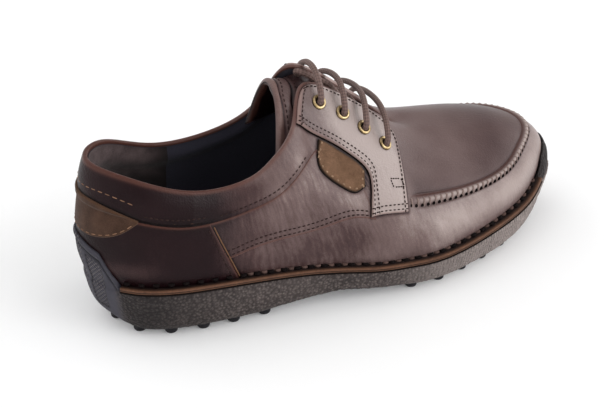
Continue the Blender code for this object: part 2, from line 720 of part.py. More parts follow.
def eyelet_profile():
    """Half section of an eyelet, from the top of its flange down the barrel and up the hole."""
    rim = (EYELET_HOLE_RADIUS + EYELET_FLANGE_RADIUS) / 2.0
    return [
        (rim, EYELET_FLANGE), (EYELET_FLANGE_RADIUS, EYELET_FLANGE_EDGE), (EYELET_FLANGE_RADIUS, 0.0),
        (EYELET_BARREL_RADIUS, 0.0), (EYELET_BARREL_RADIUS, -EYELET_BARREL),
        (EYELET_HOLE_RADIUS, -EYELET_BARREL), (EYELET_HOLE_RADIUS, EYELET_FLANGE_LIP)]


def make_eyelet_mesh():
    bm = bmesh.new()
    verts = [bm.verts.new((radius * MM, 0.0, height * MM)) for radius, height in eyelet_profile()]
    for first, second in zip(verts, verts[1:] + verts[:1]):
        bm.edges.new((first, second))
    mesh = bpy.data.meshes.new("eyelet")
    bm.to_mesh(mesh)
    bm.free()
    return mesh


def place_on_surface(item, centre, normal, lift):
    item.location = Vector(centre + normal * lift) * MM
    item.rotation_euler = Vector(normal).to_track_quat("Z", "Y").to_euler()


def make_eyelets(places, collection, material, parent):
    mesh = make_eyelet_mesh()
    for (side, number), (centre, normal) in places.items():
        eyelet = add_object(f"eyelet_{side}_{number}", mesh.copy(), material, collection, parent)
        place_on_surface(eyelet, centre, normal, EYELET_LIFT)
        screw = eyelet.modifiers.new("turned", "SCREW")
        screw.axis = "Z"
        screw.steps = EYELET_SIDES
        screw.render_steps = EYELET_SIDES
        screw.use_merge_vertices = True
        screw.merge_threshold = MERGE_DISTANCE
        screw.use_smooth_shade = True


def make_eyelet_cutters(side, places, collection, material, parent):
    """The holes for one side's eyelets, as one cutter of four pins."""
    bm = bmesh.new()
    for (place_side, _), (centre, normal) in places.items():
        if place_side == side:
            turn = Vector(normal).to_track_quat("Z", "Y").to_matrix().to_4x4()
            place = Matrix.Translation(Vector(centre) * MM) @ turn
            bmesh.ops.create_cone(
                bm, cap_ends=True, segments=EYELET_SIDES, radius1=EYELET_CUT_RADIUS * MM,
                radius2=EYELET_CUT_RADIUS * MM, depth=2.0 * EYELET_CUT_DEPTH * MM, matrix=place)
    name = f"eyelet_holes_{side}"
    cutter = add_object(name, finish_mesh(name, bm), material, collection, parent)
    cutter.hide_render = True
    cutter.display_type = "WIRE"
    return cutter


def lace_route(number, places):
    """Route of one lace bar: up out of an eyelet, over the throat and down into the other."""
    ends = []
    for side in ("lateral", "medial"):
        centre, normal = places[side, number]
        inward = math.copysign(math.cos(LACE_CLIMB_ANGLE), TONGUE_MIDDLE - centre[1])
        climb = np.array([0.0, inward, math.sin(LACE_CLIMB_ANGLE)])
        seat = centre + normal * EYELET_LIFT
        ends.append([
            seat - normal * LACE_DEPTH + climb * LACE_SEAT,
            seat + normal * LACE_EXIT + climb * LACE_SEAT,
            seat + normal * LACE_STAND_OFF + climb * LACE_CLIMB,
        ])
    lateral, medial = ends
    crest_x, crest_z = LACE_CREST[number]
    crest = np.array([crest_x, LACE_CREST_Y, crest_z])
    route = np.array(lateral + [crest] + medial[::-1])
    steps = np.linalg.norm(np.diff(route, axis=0), axis=1)
    travelled = np.concatenate([[0.0], np.cumsum(steps)])
    spans = zip(travelled[:-1], travelled[1:], LACE_STEPS)
    wanted = [np.linspace(start, end, count, endpoint=False) for start, end, count in spans]
    return open_curve(travelled, route, np.append(np.concatenate(wanted), travelled[-1]))


def make_lace_bar(number, places, collection, material, parent):
    name = f"lace_bar_{number}"
    curve = bpy.data.curves.new(name, "CURVE")
    curve.dimensions = "3D"
    curve.bevel_depth = LACE_RADIUS * MM
    curve.bevel_resolution = 1
    curve.use_fill_caps = True
    spline = curve.splines.new("POLY")
    route = lace_route(number, places)
    spline.points.add(len(route) - 1)
    for point, place in zip(spline.points, route):
        point.co = (*(place * MM), 1.0)
    return add_object(name, curve, material, collection, parent)


def new_collection(name):
    collection = bpy.data.collections.new(name)
    bpy.context.scene.collection.children.link(collection)
    return collection


def main():
    for item in list(bpy.data.objects):
        bpy.data.objects.remove(item)
    parts = new_collection(COLLECTION_NAME)
    cutters = new_collection(COLLECTION_NAME + "_cutters")
    materials = {name: make_material(name) for name in COLOURS}
    ribs = station_ribs()
    reach = np.concatenate(sole_rings(ribs))
    middle = (reach.min(0) + reach.max(0)) / 2.0
    root = bpy.data.objects.new("shoe_origin", None)
    root.location = Vector((-middle[0], -middle[1], 0.0)) * MM
    parts.objects.link(root)

    make_outsole(ribs, parts, cutters, materials["rubber"], root)
    half = STATIONS // 2
    make_welt("welt_lateral", ribs[:half], parts, materials["welt_leather"], root)
    make_welt("welt_medial", ribs[half:], parts, materials["welt_leather"], root)
    make_insole(ribs[::2], parts, materials["lining"], root)
    make_tongue(parts, materials["leather"], root)
    places = eyelet_places()
    upper = make_upper(ribs, parts, materials["leather"], root)
    eyestays = {"lateral": list(EYESTAY_LATERAL.values()), "medial": medial_rows(EYESTAY_MEDIAL.values())}
    for side, rows in eyestays.items():
        holes = make_eyelet_cutters(side, places, cutters, materials["leather"], root)
        eyestay = make_overlay(
            f"eyestay_{side}", rows, EYESTAY_GRID, EYESTAY_THICKNESS, parts, materials["leather"], root)
        add_boolean(upper, holes, "DIFFERENCE")
        add_boolean(eyestay, holes, "DIFFERENCE")
    make_overlay(
        "quarter_patch", QUARTER_PATCH_TABLE.values(), QUARTER_PATCH_GRID, PATCH_THICKNESS,
        parts, materials["nubuck"], root)
    make_overlay(
        "heel_patch", heel_patch_rows(), HEEL_PATCH_GRID, PATCH_THICKNESS, parts, materials["nubuck"], root)
    make_eyelets(places, parts, materials["brass"], root)
    for number in LACE_CREST:
        make_lace_bar(number, places, parts, materials["lace"], root)


main()
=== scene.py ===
"""Looks of the right lace-up shoe: fine leather, seams, stitches, laces, sole, floor and light."""

import math

import bpy
import numpy as np
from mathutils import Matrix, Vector, noise
from mathutils.kdtree import KDTree


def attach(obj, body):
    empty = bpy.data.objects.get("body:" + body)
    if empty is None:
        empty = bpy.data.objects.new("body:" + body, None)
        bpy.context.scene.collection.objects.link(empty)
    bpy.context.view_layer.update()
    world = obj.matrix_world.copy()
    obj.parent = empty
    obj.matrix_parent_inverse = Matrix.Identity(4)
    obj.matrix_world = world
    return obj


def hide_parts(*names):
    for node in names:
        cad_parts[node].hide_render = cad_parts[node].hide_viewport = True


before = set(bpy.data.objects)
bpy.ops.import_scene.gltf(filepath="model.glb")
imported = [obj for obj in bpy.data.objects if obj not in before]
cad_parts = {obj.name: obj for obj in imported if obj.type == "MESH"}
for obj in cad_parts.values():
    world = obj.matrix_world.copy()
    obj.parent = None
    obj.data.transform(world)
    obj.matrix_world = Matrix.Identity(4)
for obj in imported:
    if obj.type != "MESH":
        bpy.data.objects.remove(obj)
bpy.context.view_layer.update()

MM = 0.001
RANDOM = np.random.default_rng(7)

# The last, in millimetres: the toe points to +X, the medial side is +Y and the floor is Z = 0.
# A row is a rib from the feather up to the rim, from the heel along the lateral side to the toe and back.
LAST_COLUMNS = ("feather_x", "feather_y", "rim_x", "rim_y", "rim_z", "bulge", "wall", "lean", "drop", "seam")
LAST_TABLE = {
    "heel_back": (10, 0, 14, 0, 96, 8, 24, 3, 22, 0.67),
    "heel_lateral": (24, -27, 29, -21, 92, 6, 24, 4, 20, 0.66),
    "quarter_lateral": (53, -39, 60, -28, 80, 4, 20, 4, 14, 0.64),
    "collar_lateral": (92, -42, 90, -28, 79, 4, 16, 4, 12, 0.70),
    "instep_lateral": (120, -43, 106, -28, 88, 4, 17, 6, 16, 0.73),
    "junction_lateral": (142, -46, 123, -18, 101, 3, 20, 10, 20, 0.76),
    "corner_lateral": (160, -50, 137, 0, 114, 3, 22, 16, 20, 0.62),
    "facing_lateral": (179, -52, 163, -1, 101, 3, 20, 24, 20, 0.45),
    "throat_lateral": (206, -51, 183, -1, 86, 3, 22, 30, 24, 0.45),
    "ball_lateral": (254, -35, 190, 2, 80, 4, 28, 50, 27, 0.40),
    "toe_lateral": (281, -16, 193, 4, 77, 6, 32, 58, 19, 0.38),
    "toe_tip": (298, 4, 194, 7, 76, 7, 34, 62, 14, 0.37),
    "toe_medial": (292, 26, 193, 10, 77, 9, 35, 62, 12, 0.38),
    "ball_medial": (264, 44, 190, 12, 80, 7, 35, 56, 16, 0.41),
    "throat_medial": (215, 53, 183, 15, 86, 4, 28, 32, 19, 0.41),
    "facing_medial": (182, 46, 163, 15, 102, 3, 24, 22, 16, 0.42),
    "corner_medial": (161, 39, 135, 14, 120, 3, 26, 14, 20, 0.62),
    "junction_medial": (141, 35, 125, 27, 101, 3, 22, 8, 20, 0.76),
    "instep_medial": (118, 34, 113, 31, 86.5, 4, 20, 5, 16, 0.73),
    "collar_medial": (92, 35, 91, 32, 79, 4, 18, 4, 12, 0.66),
    "quarter_medial": (58, 35, 58, 30, 80, 4, 20, 4, 14, 0.61),
    "heel_medial": (28, 27, 29, 21, 93, 6, 24, 4, 20, 0.65),
}
RIBS = len(LAST_TABLE)
TOE_RIB = 11
RIM_PULL = 10.0
TURN_WEIGHT = 14.0

# The sole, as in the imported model
SOLE_TOP = {0: 31, 40: 30.5, 80: 29, 120: 25, 160: 20.5, 200: 20, 240: 22.5, 270: 25.5, 300: 31}
TREAD = {
    0: 14, 10: 7.5, 20: 4.6, 30: 4, 92: 4, 112: 5.5, 138: 7.5, 164: 5.5, 184: 4,
    244: 4, 262: 5.6, 280: 9, 300: 16}
SEAT_GAP = 0.3
SIDE_RINGS = ((-0.5, 5.0, 0.0), (2.2, 4.5, 0.1), (4.2, 3.6, 0.36), (5.4, 3.2, 0.72), (5.7, 3.2, 0.9))
HEEL_RAKE = (0.45, 1.35)
FLOOR_RING = -7.0
HEEL_WRAP = {0.0: 0.36, 0.25: 0.345, 0.58: 0.29, 0.76: 0.12, 0.92: 0.0}
TOE_WRAP = {0.0: 0.155, 0.35: 0.15, 0.62: 0.12, 0.78: 0.05, 0.92: 0.0}
WRAP_STEPS = (0.0, 0.35, 0.7, 1.0)
LEDGE_OUTER, LEDGE_INNER, LEDGE_FOLD = 5.0, 0.9, 0.3
TOE_WRAP_FOOT, TOE_WRAP_EDGE = 5.2, 1.5
HEEL_WRAP_FOOT, HEEL_WRAP_EDGE = 2.2, 1.7
WRAP_GAP, WRAP_FULL = 0.6, 0.05
STUD_RADIUS, STUD_HEIGHT, STUD_ROOT = 3.6, 4.0, 2.0
STUD_ROWS = {"edge": (3.9, 17.2, 8.0), "inner": (24.0, 19.5, 0.0)}
STUD_CLEARANCE = 13.65
ARCH_SPAN = (112.0, 172.0)

# The upper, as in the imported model
UPPER_WALL = 2.0
BAND_STEP, BAND_STEP_WIDTH, BAND_PUFF, BAND_PAD = 0.7, 1.5, 1.3, 2.4
RIDGE_HEIGHT, RIDGE_HALF_WIDTH = 1.7, 2.4
COLLAR_END = (4.9, 5.4)
APRON_START = (7.35, 7.75)
INSOLE_INSET, INSOLE_HEIGHT, INSOLE_CROWN = 3.4, 4.0, 0.6

# The tongue: rib and share where a row leaves the facing, then its crown along the shoe and up
TONGUE_ROWS = (
    (9.0, 0.90, 196.0, 70.5), (8.4, 0.84, 189.0, 75.5), (7.7, 0.74, 177.0, 85.0), (7.1, 0.68, 165.0, 93.5),
    (6.6, 0.65, 153.0, 101.0), (6.1, 0.64, 141.0, 107.5), (5.66, 0.69, 131.0, 112.0))
TONGUE_REAR = (119.2, 116.0, 21.0, 84.0)
TONGUE_MIDDLE, TONGUE_FLANK_TOP, TONGUE_FLANK_POINTS = 7.0, 0.93, 4
TONGUE_GAP, TONGUE_THICKNESS, TONGUE_FOOT_SHIFT = 0.95, 2.6, 3.0
TONGUE_LATERAL_PULL, TONGUE_MEDIAL_PULL, TONGUE_ROUNDNESS = 6.2, 8.2, 2.6

# Overlays: rib and share at the outer edge, then at the throat edge
EYESTAY_LATERAL = (
    (5.05, 0.985, 5.93, 0.985), (5.5, 0.785, 6.35, 0.985), (5.97, 0.67, 6.8, 0.985),
    (6.35, 0.605, 7.32, 0.985), (6.54, 0.55, 7.9, 0.93), (6.46, 0.47, 7.78, 0.79),
    (6.33, 0.41, 7.5, 0.61), (6.12, 0.32, 7.2, 0.37))
EYESTAY_MEDIAL = (
    (4.97, 0.985, 5.93, 0.985), (5.42, 0.75, 6.35, 0.985), (5.9, 0.61, 6.8, 0.985),
    (6.28, 0.53, 7.32, 0.985), (6.5, 0.47, 7.9, 0.93), (6.45, 0.39, 7.82, 0.75),
    (6.33, 0.33, 7.55, 0.54), (6.12, 0.24, 7.22, 0.28))
QUARTER_PATCH = (
    (5.33, 0.705, 5.6, 0.735), (5.22, 0.65, 5.8, 0.69), (5.42, 0.55, 6.0, 0.645),
    (5.77, 0.465, 6.2, 0.61), (6.04, 0.445, 6.38, 0.58), (6.32, 0.475, 6.46, 0.545))
# The heel patch: rib, then the share at its lower and at its upper edge
HEEL_PATCH = (
    (0.0, 0.41, 0.74), (0.4, 0.415, 0.74), (0.8, 0.465, 0.71), (1.05, 0.545, 0.68), (1.22, 0.63, 0.655))
EYESTAY_TOP, PATCH_TOP, SUNK = 1.8, 1.4, -0.3
EYELET_LATERAL = {1: (6.10, 0.87), 2: (6.56, 0.835), 3: (6.92, 0.80), 4: (7.33, 0.76)}
EYELET_MEDIAL = {1: (6.14, 0.82), 2: (6.56, 0.785), 3: (6.97, 0.745), 4: (7.38, 0.7)}
EYELET_LIFT, EYELET_CUT = 2.15, 2.9
LACE_RADIUS, LACE_EXIT, LACE_CLIMB, LACE_STAND_OFF = 1.75, 2.0, 3.0, 3.2
LACE_CLIMB_ANGLE = math.radians(60.0)
LACE_CREST = {1: (144.5, 120.5), 2: (159.0, 111.0), 3: (172.5, 101.5), 4: (183.0, 93.5)}
LACE_CREST_Y = 11.0

# Seams on the upper, as rib and share: the counter's front edge and the edge below the quarter
COUNTER_SEAM = ((2.31, 0.66), (2.45, 0.44), (2.57, 0.25), (2.71, 0.0))
QUARTER_SEAM = (
    (2.26, 0.23), (2.6, 0.27), (2.93, 0.33), (3.45, 0.365), (4.11, 0.365), (4.8, 0.36), (5.48, 0.34),
    (6.25, 0.305))
HEEL_ARC = (
    (-1.18, 0.79), (-0.9, 0.82), (-0.51, 0.835), (0.0, 0.82), (0.51, 0.835), (0.9, 0.82), (1.18, 0.79))
COUNTER_LIFT, QUARTER_LIFT = 0.8, 0.4
# Corners of the small box of stitches at the eyestay's front edge
BAR_TACK = ((7.02, 0.50), (7.02, 0.545), (7.33, 0.565), (7.33, 0.52))

LAST_ROWS = np.array(list(LAST_TABLE.values()), float)


# Curves and surfaces of the last


def smooth_step(value):
    clipped = np.clip(value, 0.0, 1.0)
    return clipped * clipped * (3.0 - 2.0 * clipped)


def rises(value, start, span):
    """From 0 up to 1, over a span that begins at the start."""
    return smooth_step((value - start) / span)


def falls(value, end, span):
    """From 1 down to 0, over a span that stops at the end."""
    return smooth_step((end - value) / span)


def hump(value, middle, width):
    """1 at the middle, falling off smoothly on both sides."""
    return np.exp(-((value - middle) / width) ** 2)


def travel(points, axis=0):
    """Millimetres along a line, or along the lines of a grid, up to each point."""
    steps = np.linalg.norm(np.diff(points, axis=axis), axis=-1)
    first = np.zeros_like(np.take(steps, [0], axis))
    return np.concatenate([first, np.cumsum(steps, axis)], axis)


def read_line(wanted, travelled, rows):
    """Points or directions along a line, read at wanted distances."""
    return np.stack([np.interp(wanted, travelled, rows[:, axis]) for axis in range(3)], -1)


def unit(vectors):
    return vectors / np.linalg.norm(vectors, axis=-1, keepdims=True)


def ring_angles(sides):
    return np.arange(sides) * 2.0 * math.pi / sides


def ring_round(across, up, sides):
    """Directions all round, turning from one direction towards another."""
    angles = ring_angles(sides)[:, None]
    return np.cos(angles) * across + np.sin(angles) * up


def circle(sides, radius, height, x=0.0, y=0.0):
    """A level ring of points."""
    angles = ring_angles(sides)
    level = np.full(sides, height)
    return np.column_stack([x + radius * np.cos(angles), y + radius * np.sin(angles), level])


def loop_slopes(values):
    """Slopes at the rows of a smooth closed curve through them."""
    identity = np.eye(len(values))
    matrix = 4.0 * identity + np.roll(identity, 1, 0) + np.roll(identity, -1, 0)
    return np.linalg.solve(matrix, 3.0 * (np.roll(values, -1, 0) - np.roll(values, 1, 0)))


LAST_SLOPES = loop_slopes(LAST_ROWS)


def between(share, start, end, leaving, arriving):
    """A smooth way from one value to the next, with its slopes at both."""
    rest = 1.0 - share
    ends = (1.0 + 2.0 * share) * rest ** 2 * start + share ** 2 * (3.0 - 2.0 * share) * end
    return ends + share * rest ** 2 * leaving - share ** 2 * rest * arriving


def last_value(name, rib):
    """A column of the last at any place along the loop of ribs."""
    values, slopes = LAST_ROWS[:, LAST_COLUMNS.index(name)], LAST_SLOPES[:, LAST_COLUMNS.index(name)]
    lower = np.floor(rib).astype(int)
    first = lower % RIBS
    second = (first + 1) % RIBS
    return between(rib - lower, values[first], values[second], slopes[first], slopes[second])


def open_slopes(places, values):
    """Slopes at the points of a smooth open curve whose ends are straight."""
    count = len(places)
    spans = np.diff(places)
    matrix = np.eye(count)
    right_side = np.zeros((count,) + values.shape[1:])
    chords = (np.diff(values, axis=0).T / spans).T
    matrix[0, :2] = (2.0, 1.0)
    matrix[-1, -2:] = (1.0, 2.0)
    right_side[0] = 3.0 * chords[0]
    right_side[-1] = 3.0 * chords[-1]
    for row in range(1, count - 1):
        matrix[row, row - 1:row + 2] = (spans[row], 2.0 * (spans[row - 1] + spans[row]), spans[row - 1])
        right_side[row] = 3.0 * (spans[row] * chords[row - 1] + spans[row - 1] * chords[row])
    return np.linalg.solve(matrix, right_side)


def open_curve(places, values, wanted):
    """A smooth open curve through values at the given places, read at the wanted places."""
    places = np.asarray(places, float)
    values = np.asarray(values, float)
    wanted = np.clip(np.asarray(wanted, float), places[0], places[-1])
    slopes = open_slopes(places, values)
    lower = np.clip(np.searchsorted(places, wanted, side="right") - 1, 0, len(places) - 2)
    span = places[lower + 1] - places[lower]
    share = (wanted - places[lower]) / span
    if values.ndim > 1:
        share = share[..., None]
        span = span[..., None]
    return between(share, values[lower], values[lower + 1], span * slopes[lower], span * slopes[lower + 1])


def smooth_line(points, count):
    """A smooth line through points, read at evenly spaced places."""
    points = np.asarray(points, float)
    return open_curve(np.arange(len(points)), points, np.linspace(0, len(points) - 1, count))


def sole_top(x):
    return open_curve(list(SOLE_TOP), list(SOLE_TOP.values()), x)


def read_table(table, place):
    return np.interp(place, list(table), list(table.values()))


def tread_height(x):
    return read_table(TREAD, x)


def feather_top(rib):
    """Height of the sole's top at the feather."""
    return sole_top(last_value("feather_x", rib))


PLAN_STEP, NORMAL_STEP = 0.002, 0.004


def plan_normal(rib):
    """Outward direction of the feather line, seen from above."""
    along_x = last_value("feather_x", rib + PLAN_STEP) - last_value("feather_x", rib - PLAN_STEP)
    along_y = last_value("feather_y", rib + PLAN_STEP) - last_value("feather_y", rib - PLAN_STEP)
    length = np.hypot(along_x, along_y)
    return along_y / length, -along_x / length


def rib_point(rib, share):
    """A point of the last, on a curved rib from the feather to the rim."""
    rib, share = np.broadcast_arrays(np.asarray(rib, float), np.asarray(share, float))
    feather_x = last_value("feather_x", rib)
    feather_y = last_value("feather_y", rib)
    rim = np.stack([last_value(name, rib) for name in ("rim_x", "rim_y", "rim_z")], -1)
    normal_x, normal_y = plan_normal(rib)
    out_x = feather_x - rim[..., 0] + RIM_PULL * normal_x
    out_y = feather_y - rim[..., 1] + RIM_PULL * normal_y
    lean = last_value("lean", rib) / np.hypot(out_x, out_y)
    bulge = last_value("bulge", rib)
    feather = np.stack([feather_x, feather_y, sole_top(feather_x)], -1)
    leaving = np.stack([bulge * normal_x, bulge * normal_y, last_value("wall", rib)], -1) + feather
    arriving = np.stack([lean * out_x, lean * out_y, -last_value("drop", rib)], -1) + rim
    up = share[..., None]
    down = 1.0 - up
    ends = down ** 3 * feather + up ** 3 * rim
    return ends + 3.0 * down * up * (down * leaving + up * arriving)


def last_normal(rib, share):
    along = rib_point(rib + NORMAL_STEP, share) - rib_point(rib - NORMAL_STEP, share)
    upward = rib_point(rib, share + NORMAL_STEP) - rib_point(rib, share - NORMAL_STEP)
    return unit(np.cross(along, upward))


FINE_COUNT, FINE_SHARES = 1101, 17
FINE_RIBS = np.linspace(0.0, RIBS, FINE_COUNT)
FINE_POINTS = rib_point(FINE_RIBS[:, None], np.linspace(0.0, 1.0, FINE_SHARES))
FINE_LENGTHS = np.linalg.norm(np.diff(FINE_POINTS, axis=1), axis=-1).sum(1)
FEATHER_STEPS = np.linalg.norm(np.diff(FINE_POINTS[:, 0], axis=0), axis=1)
FEATHER_TRAVEL = travel(FINE_POINTS[:, 0])


def rib_length(rib):
    return np.interp(np.asarray(rib) % RIBS, FINE_RIBS, FINE_LENGTHS)


def feather_travel(rib):
    """Millimetres along the feather from the heel, the same way on both sides."""
    return np.interp(ribs_from_heel(np.asarray(rib)), FINE_RIBS, FEATHER_TRAVEL)


def ribs_from_heel(rib):
    return np.minimum(rib % RIBS, RIBS - rib % RIBS)


def collar_amount(rib):
    start, end = COLLAR_END
    return 1.0 - rises(ribs_from_heel(rib), start, end - start)


def apron_amount(rib):
    start, end = APRON_START
    return rises(ribs_from_heel(rib), start, end - start)


def band_share(rib, share):
    seam = last_value("seam", rib)
    return np.clip((share - seam) / (1.0 - seam), 0.0, 1.0)


def relief(rib, share):
    """How far the leather stands out from the last at the collar band and the apron seam."""
    distance = (share - last_value("seam", rib)) * rib_length(rib)
    across = band_share(rib, share)
    band = BAND_STEP * smooth_step(distance / BAND_STEP_WIDTH) + BAND_PUFF * np.sin(math.pi * across)
    ridge = RIDGE_HEIGHT * hump(distance, 0.0, RIDGE_HALF_WIDTH)
    return collar_amount(rib) * band + apron_amount(rib) * ridge


def surface(rib, share, lift=0.0):
    """A point of the upper's outer face, or one that stands off it."""
    rib, share = np.broadcast_arrays(np.asarray(rib, float), np.asarray(share, float))
    stand_off = relief(rib, share) + lift
    return rib_point(rib, share) + last_normal(rib, share) * stand_off[..., None]


def inner_surface(rib, share, clearance=0.0):
    """A point of the upper's inner face, with the collar's padding, or one inside it."""
    rib, share = np.broadcast_arrays(np.asarray(rib, float), np.asarray(share, float))
    padding = BAND_PAD * collar_amount(rib) * np.sin(math.pi * band_share(rib, share)) ** 2
    depth = UPPER_WALL + padding + clearance
    return rib_point(rib, share) - last_normal(rib, share) * depth[..., None]


def station_ribs(count):
    """Places round the loop, spaced by the feather's length and by how much it turns."""
    normal_x, normal_y = plan_normal(FINE_RIBS)
    turning = np.abs(np.diff(np.unwrap(np.arctan2(normal_y, normal_x))))
    travelled = np.concatenate([[0.0], np.cumsum(FEATHER_STEPS + TURN_WEIGHT * turning)])
    toe = np.interp(TOE_RIB, FINE_RIBS, travelled)
    lateral = np.linspace(0.0, toe, count // 2, endpoint=False)
    medial = np.linspace(toe, travelled[-1], count // 2, endpoint=False)
    return np.interp(np.concatenate([lateral, medial]), travelled, FINE_RIBS)


# Meshes


def grid_faces(rows, columns, close_rows=False, close_columns=False):
    """Faces of a grid of points, which look out where rows run round the last and columns up it."""
    row = np.arange(rows if close_rows else rows - 1)[:, None]
    column = np.arange(columns if close_columns else columns - 1)[None, :]
    next_row = (row + 1) % rows
    next_column = (column + 1) % columns
    corners = (
        row * columns + column, next_row * columns + column,
        next_row * columns + next_column, row * columns + next_column)
    return np.stack(np.broadcast_arrays(*corners), -1).reshape(-1, 4)


def make_mesh(name, points, faces, values=None):
    """A smooth mesh in the row frame, with named values at its points for the materials to read."""
    mesh = bpy.data.meshes.new(name)
    places = (np.asarray(points, float).reshape(-1, 3) - ORIGIN) * MM
    mesh.from_pydata(places.tolist(), [], [list(face) for face in faces])
    for value_name, numbers in (values or {}).items():
        attribute = mesh.attributes.new(value_name, "FLOAT", "POINT")
        attribute.data.foreach_set("value", np.ravel(numbers).astype(np.float32))
    mesh.shade_smooth()
    return mesh


def add_piece(name, shape, material, slot, *replaced):
    """A piece from its points, its faces and the values that its material reads."""
    mesh = make_mesh(name, *shape)
    piece = bpy.data.objects.new(name, mesh)
    mesh.materials.append(material)
    bpy.context.scene.collection.objects.link(piece)
    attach(piece, "root")
    if replaced:
        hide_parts(*replaced)
    return piece


def border_distance(points):
    """Millimetres from each point of a grid to the nearest of its four borders."""
    distances = []
    for axis in (0, 1):
        travelled = travel(points, axis)
        distances += [travelled, np.take(travelled, [-1], axis) - travelled]
    return np.minimum.reduce(distances)


def outward(points, faces):
    """Faces of a closed mesh, turned so that they look out."""
    corners = np.moveaxis(points[faces], 1, 0)
    swept = sum(np.cross(corner, after) for corner, after in zip(corners, np.roll(corners, -1, 0)))
    return faces if (corners.sum(0) * swept).sum() > 0.0 else faces[:, ::-1]


def pad(top, bottom):
    """Points and faces of a closed pad: a top grid, a bottom grid and the wall round them."""
    count = top.shape[0] * top.shape[1]
    points = np.concatenate([top.reshape(-1, 3), bottom.reshape(-1, 3)])
    lid = grid_faces(*top.shape[:2])
    index = np.arange(count).reshape(top.shape[:2])
    edge = np.concatenate([index[:-1, 0], index[-1, :-1], index[:0:-1, -1], index[0, :0:-1]])
    after = np.roll(edge, -1)
    wall = np.stack([after, edge, edge + count, after + count], -1)
    return points, outward(points, np.concatenate([lid, lid[:, ::-1] + count, wall]))


ALONG_CROWD, OVERLAY_CROWD = 0.5, 0.8


def edge_spread(count, crowd=ALONG_CROWD):
    """Places from 0 to 1 that crowd together at both ends."""
    even = np.linspace(0.0, 1.0, count)
    return even + crowd * (0.5 - 0.5 * np.cos(math.pi * even) - even)


def overlay_grid(rows, count_along, count_across):
    """Ribs and shares over an overlay that is ruled between two edges."""
    rows = np.array(rows, float)
    along = open_curve(np.arange(len(rows)), rows, edge_spread(count_along) * (len(rows) - 1))
    across = edge_spread(count_across, OVERLAY_CROWD)
    ribs = along[:, 0:1] + (along[:, 2:3] - along[:, 0:1]) * across
    shares = along[:, 1:2] + (along[:, 3:4] - along[:, 1:2]) * across
    return ribs, shares


def medial_rows(rows):
    return [(RIBS - row[0], row[1], RIBS - row[2], row[3]) for row in rows]


EYELET_REACH = 4.0


def near_eyelet(points, radius):
    """True where a point lies within a radius of an eyelet's axis."""
    hit = np.zeros(points.shape[:-1], bool)
    for centre, normal in EYELET_PLACES.values():
        away = points - centre
        depth = away @ normal
        aside = np.linalg.norm(away - depth[..., None] * normal, axis=-1)
        hit |= (aside < radius) & (np.abs(depth) < EYELET_REACH * radius)
    return hit


def cut_eyelets(points, faces):
    """The faces that an eyelet's hole leaves."""
    centres = np.asarray(points).reshape(-1, 3)[np.asarray(faces)].mean(1)
    return np.asarray(faces)[~near_eyelet(centres, EYELET_CUT)]


def rounded_lift(points, thickness, roundness):
    """Height over a pad with a rounded border."""
    inside = np.clip(border_distance(points) / roundness, 0.0, 1.0)
    return thickness * np.sqrt(1.0 - (1.0 - inside) ** 2)


# Painted shade beside seams and overlays' edges: how dark, and how wide in millimetres
SEAM_SHADE, SEAM_SHADE_WIDTH = 0.50, 1.1
# The folded bead along an overlay's edge: how far in its ridge and its trough lie, and how wide they are
BEAD_RIDGE, BEAD_TROUGH = (1.3, 0.8), (3.0, 0.7)


def near_lines(points, lines):
    """From 0 to 1, how near each point is to a seam line."""
    if not lines:
        return np.zeros(points.shape[:-1])
    marks = np.concatenate(lines)
    tree = KDTree(len(marks))
    for index, mark in enumerate(marks):
        tree.insert(mark, index)
    tree.balance()
    gaps = np.array([tree.find(point)[2] for point in points.reshape(-1, 3)])
    return hump(gaps, 0.0, SEAM_SHADE_WIDTH).reshape(points.shape[:-1])


def border_points(grid):
    """Points round the border of a panel."""
    points = surface(*grid)
    return np.concatenate([points[0], points[-1], points[:, 0], points[:, -1]])


def panel_values(ribs, shares, edge, change):
    """What a leather material reads at the points of a panel."""
    return {
        "edge": edge, "tone": tone(ribs, shares) + change, "wrinkle": wrinkling(ribs, shares),
        "rib": feather_travel(ribs), "rise": shares * rib_length(ribs)}


def make_overlay(name, grid, top, roundness, material, slot, *replaced, bead=0.0, painted_light_and_shade=0.0, lines=()):
    """A leather panel on the upper with rounded edges, and a folded bead along them if wanted, with painted
    light and shade where given and painted shade beside the given seam lines.
    """
    ribs, shares = grid
    base = surface(ribs, shares)
    distance = border_distance(base)
    lift = rounded_lift(base, top, roundness)
    lift += bead * hump(distance, *BEAD_RIDGE) - bead * hump(distance, *BEAD_TROUGH)
    upper = surface(ribs, shares, lift)
    points, faces = pad(upper, surface(ribs, shares, SUNK))
    faces = cut_eyelets(points, faces)
    edge = hump(distance, 0.0, EDGE_WIDTH)
    values = panel_values(ribs, shares, edge, painted_light_and_shade - SEAM_SHADE * near_lines(upper, lines))
    doubled = {key: np.tile(numbers.ravel(), 2) for key, numbers in values.items()}
    add_piece(name, (points, faces, doubled), material, slot, *replaced)


def inset_line(grid, side, distance):
    """Ribs and shares of a line inside one side of an overlay, a few millimetres from its edge."""
    ribs, shares = grid
    if side in ("head", "foot"):
        ribs, shares = ribs.T, shares.T
    if side in ("throat", "foot"):
        ribs, shares = ribs[:, ::-1], shares[:, ::-1]
    points = surface(ribs, shares)
    line = []
    for lengths, row_ribs, row_shares in zip(travel(points, 1), ribs, shares):
        line.append((np.interp(distance, lengths, row_ribs), np.interp(distance, lengths, row_shares)))
    return np.array(line)


# Stitches


STITCH_STATIONS = np.array([-0.5, -0.36, 0.0, 0.36, 0.5])
STITCH_GIRTH = np.array([0.45, 0.9, 1.0, 0.9, 0.45])
STITCH_DIP = np.array([-0.9, -0.1, 0.25, -0.1, -0.9])
STITCH_SIDES = 6
STITCH_CAP = ((0, 1, 2, 3), (0, 3, 4, 5))


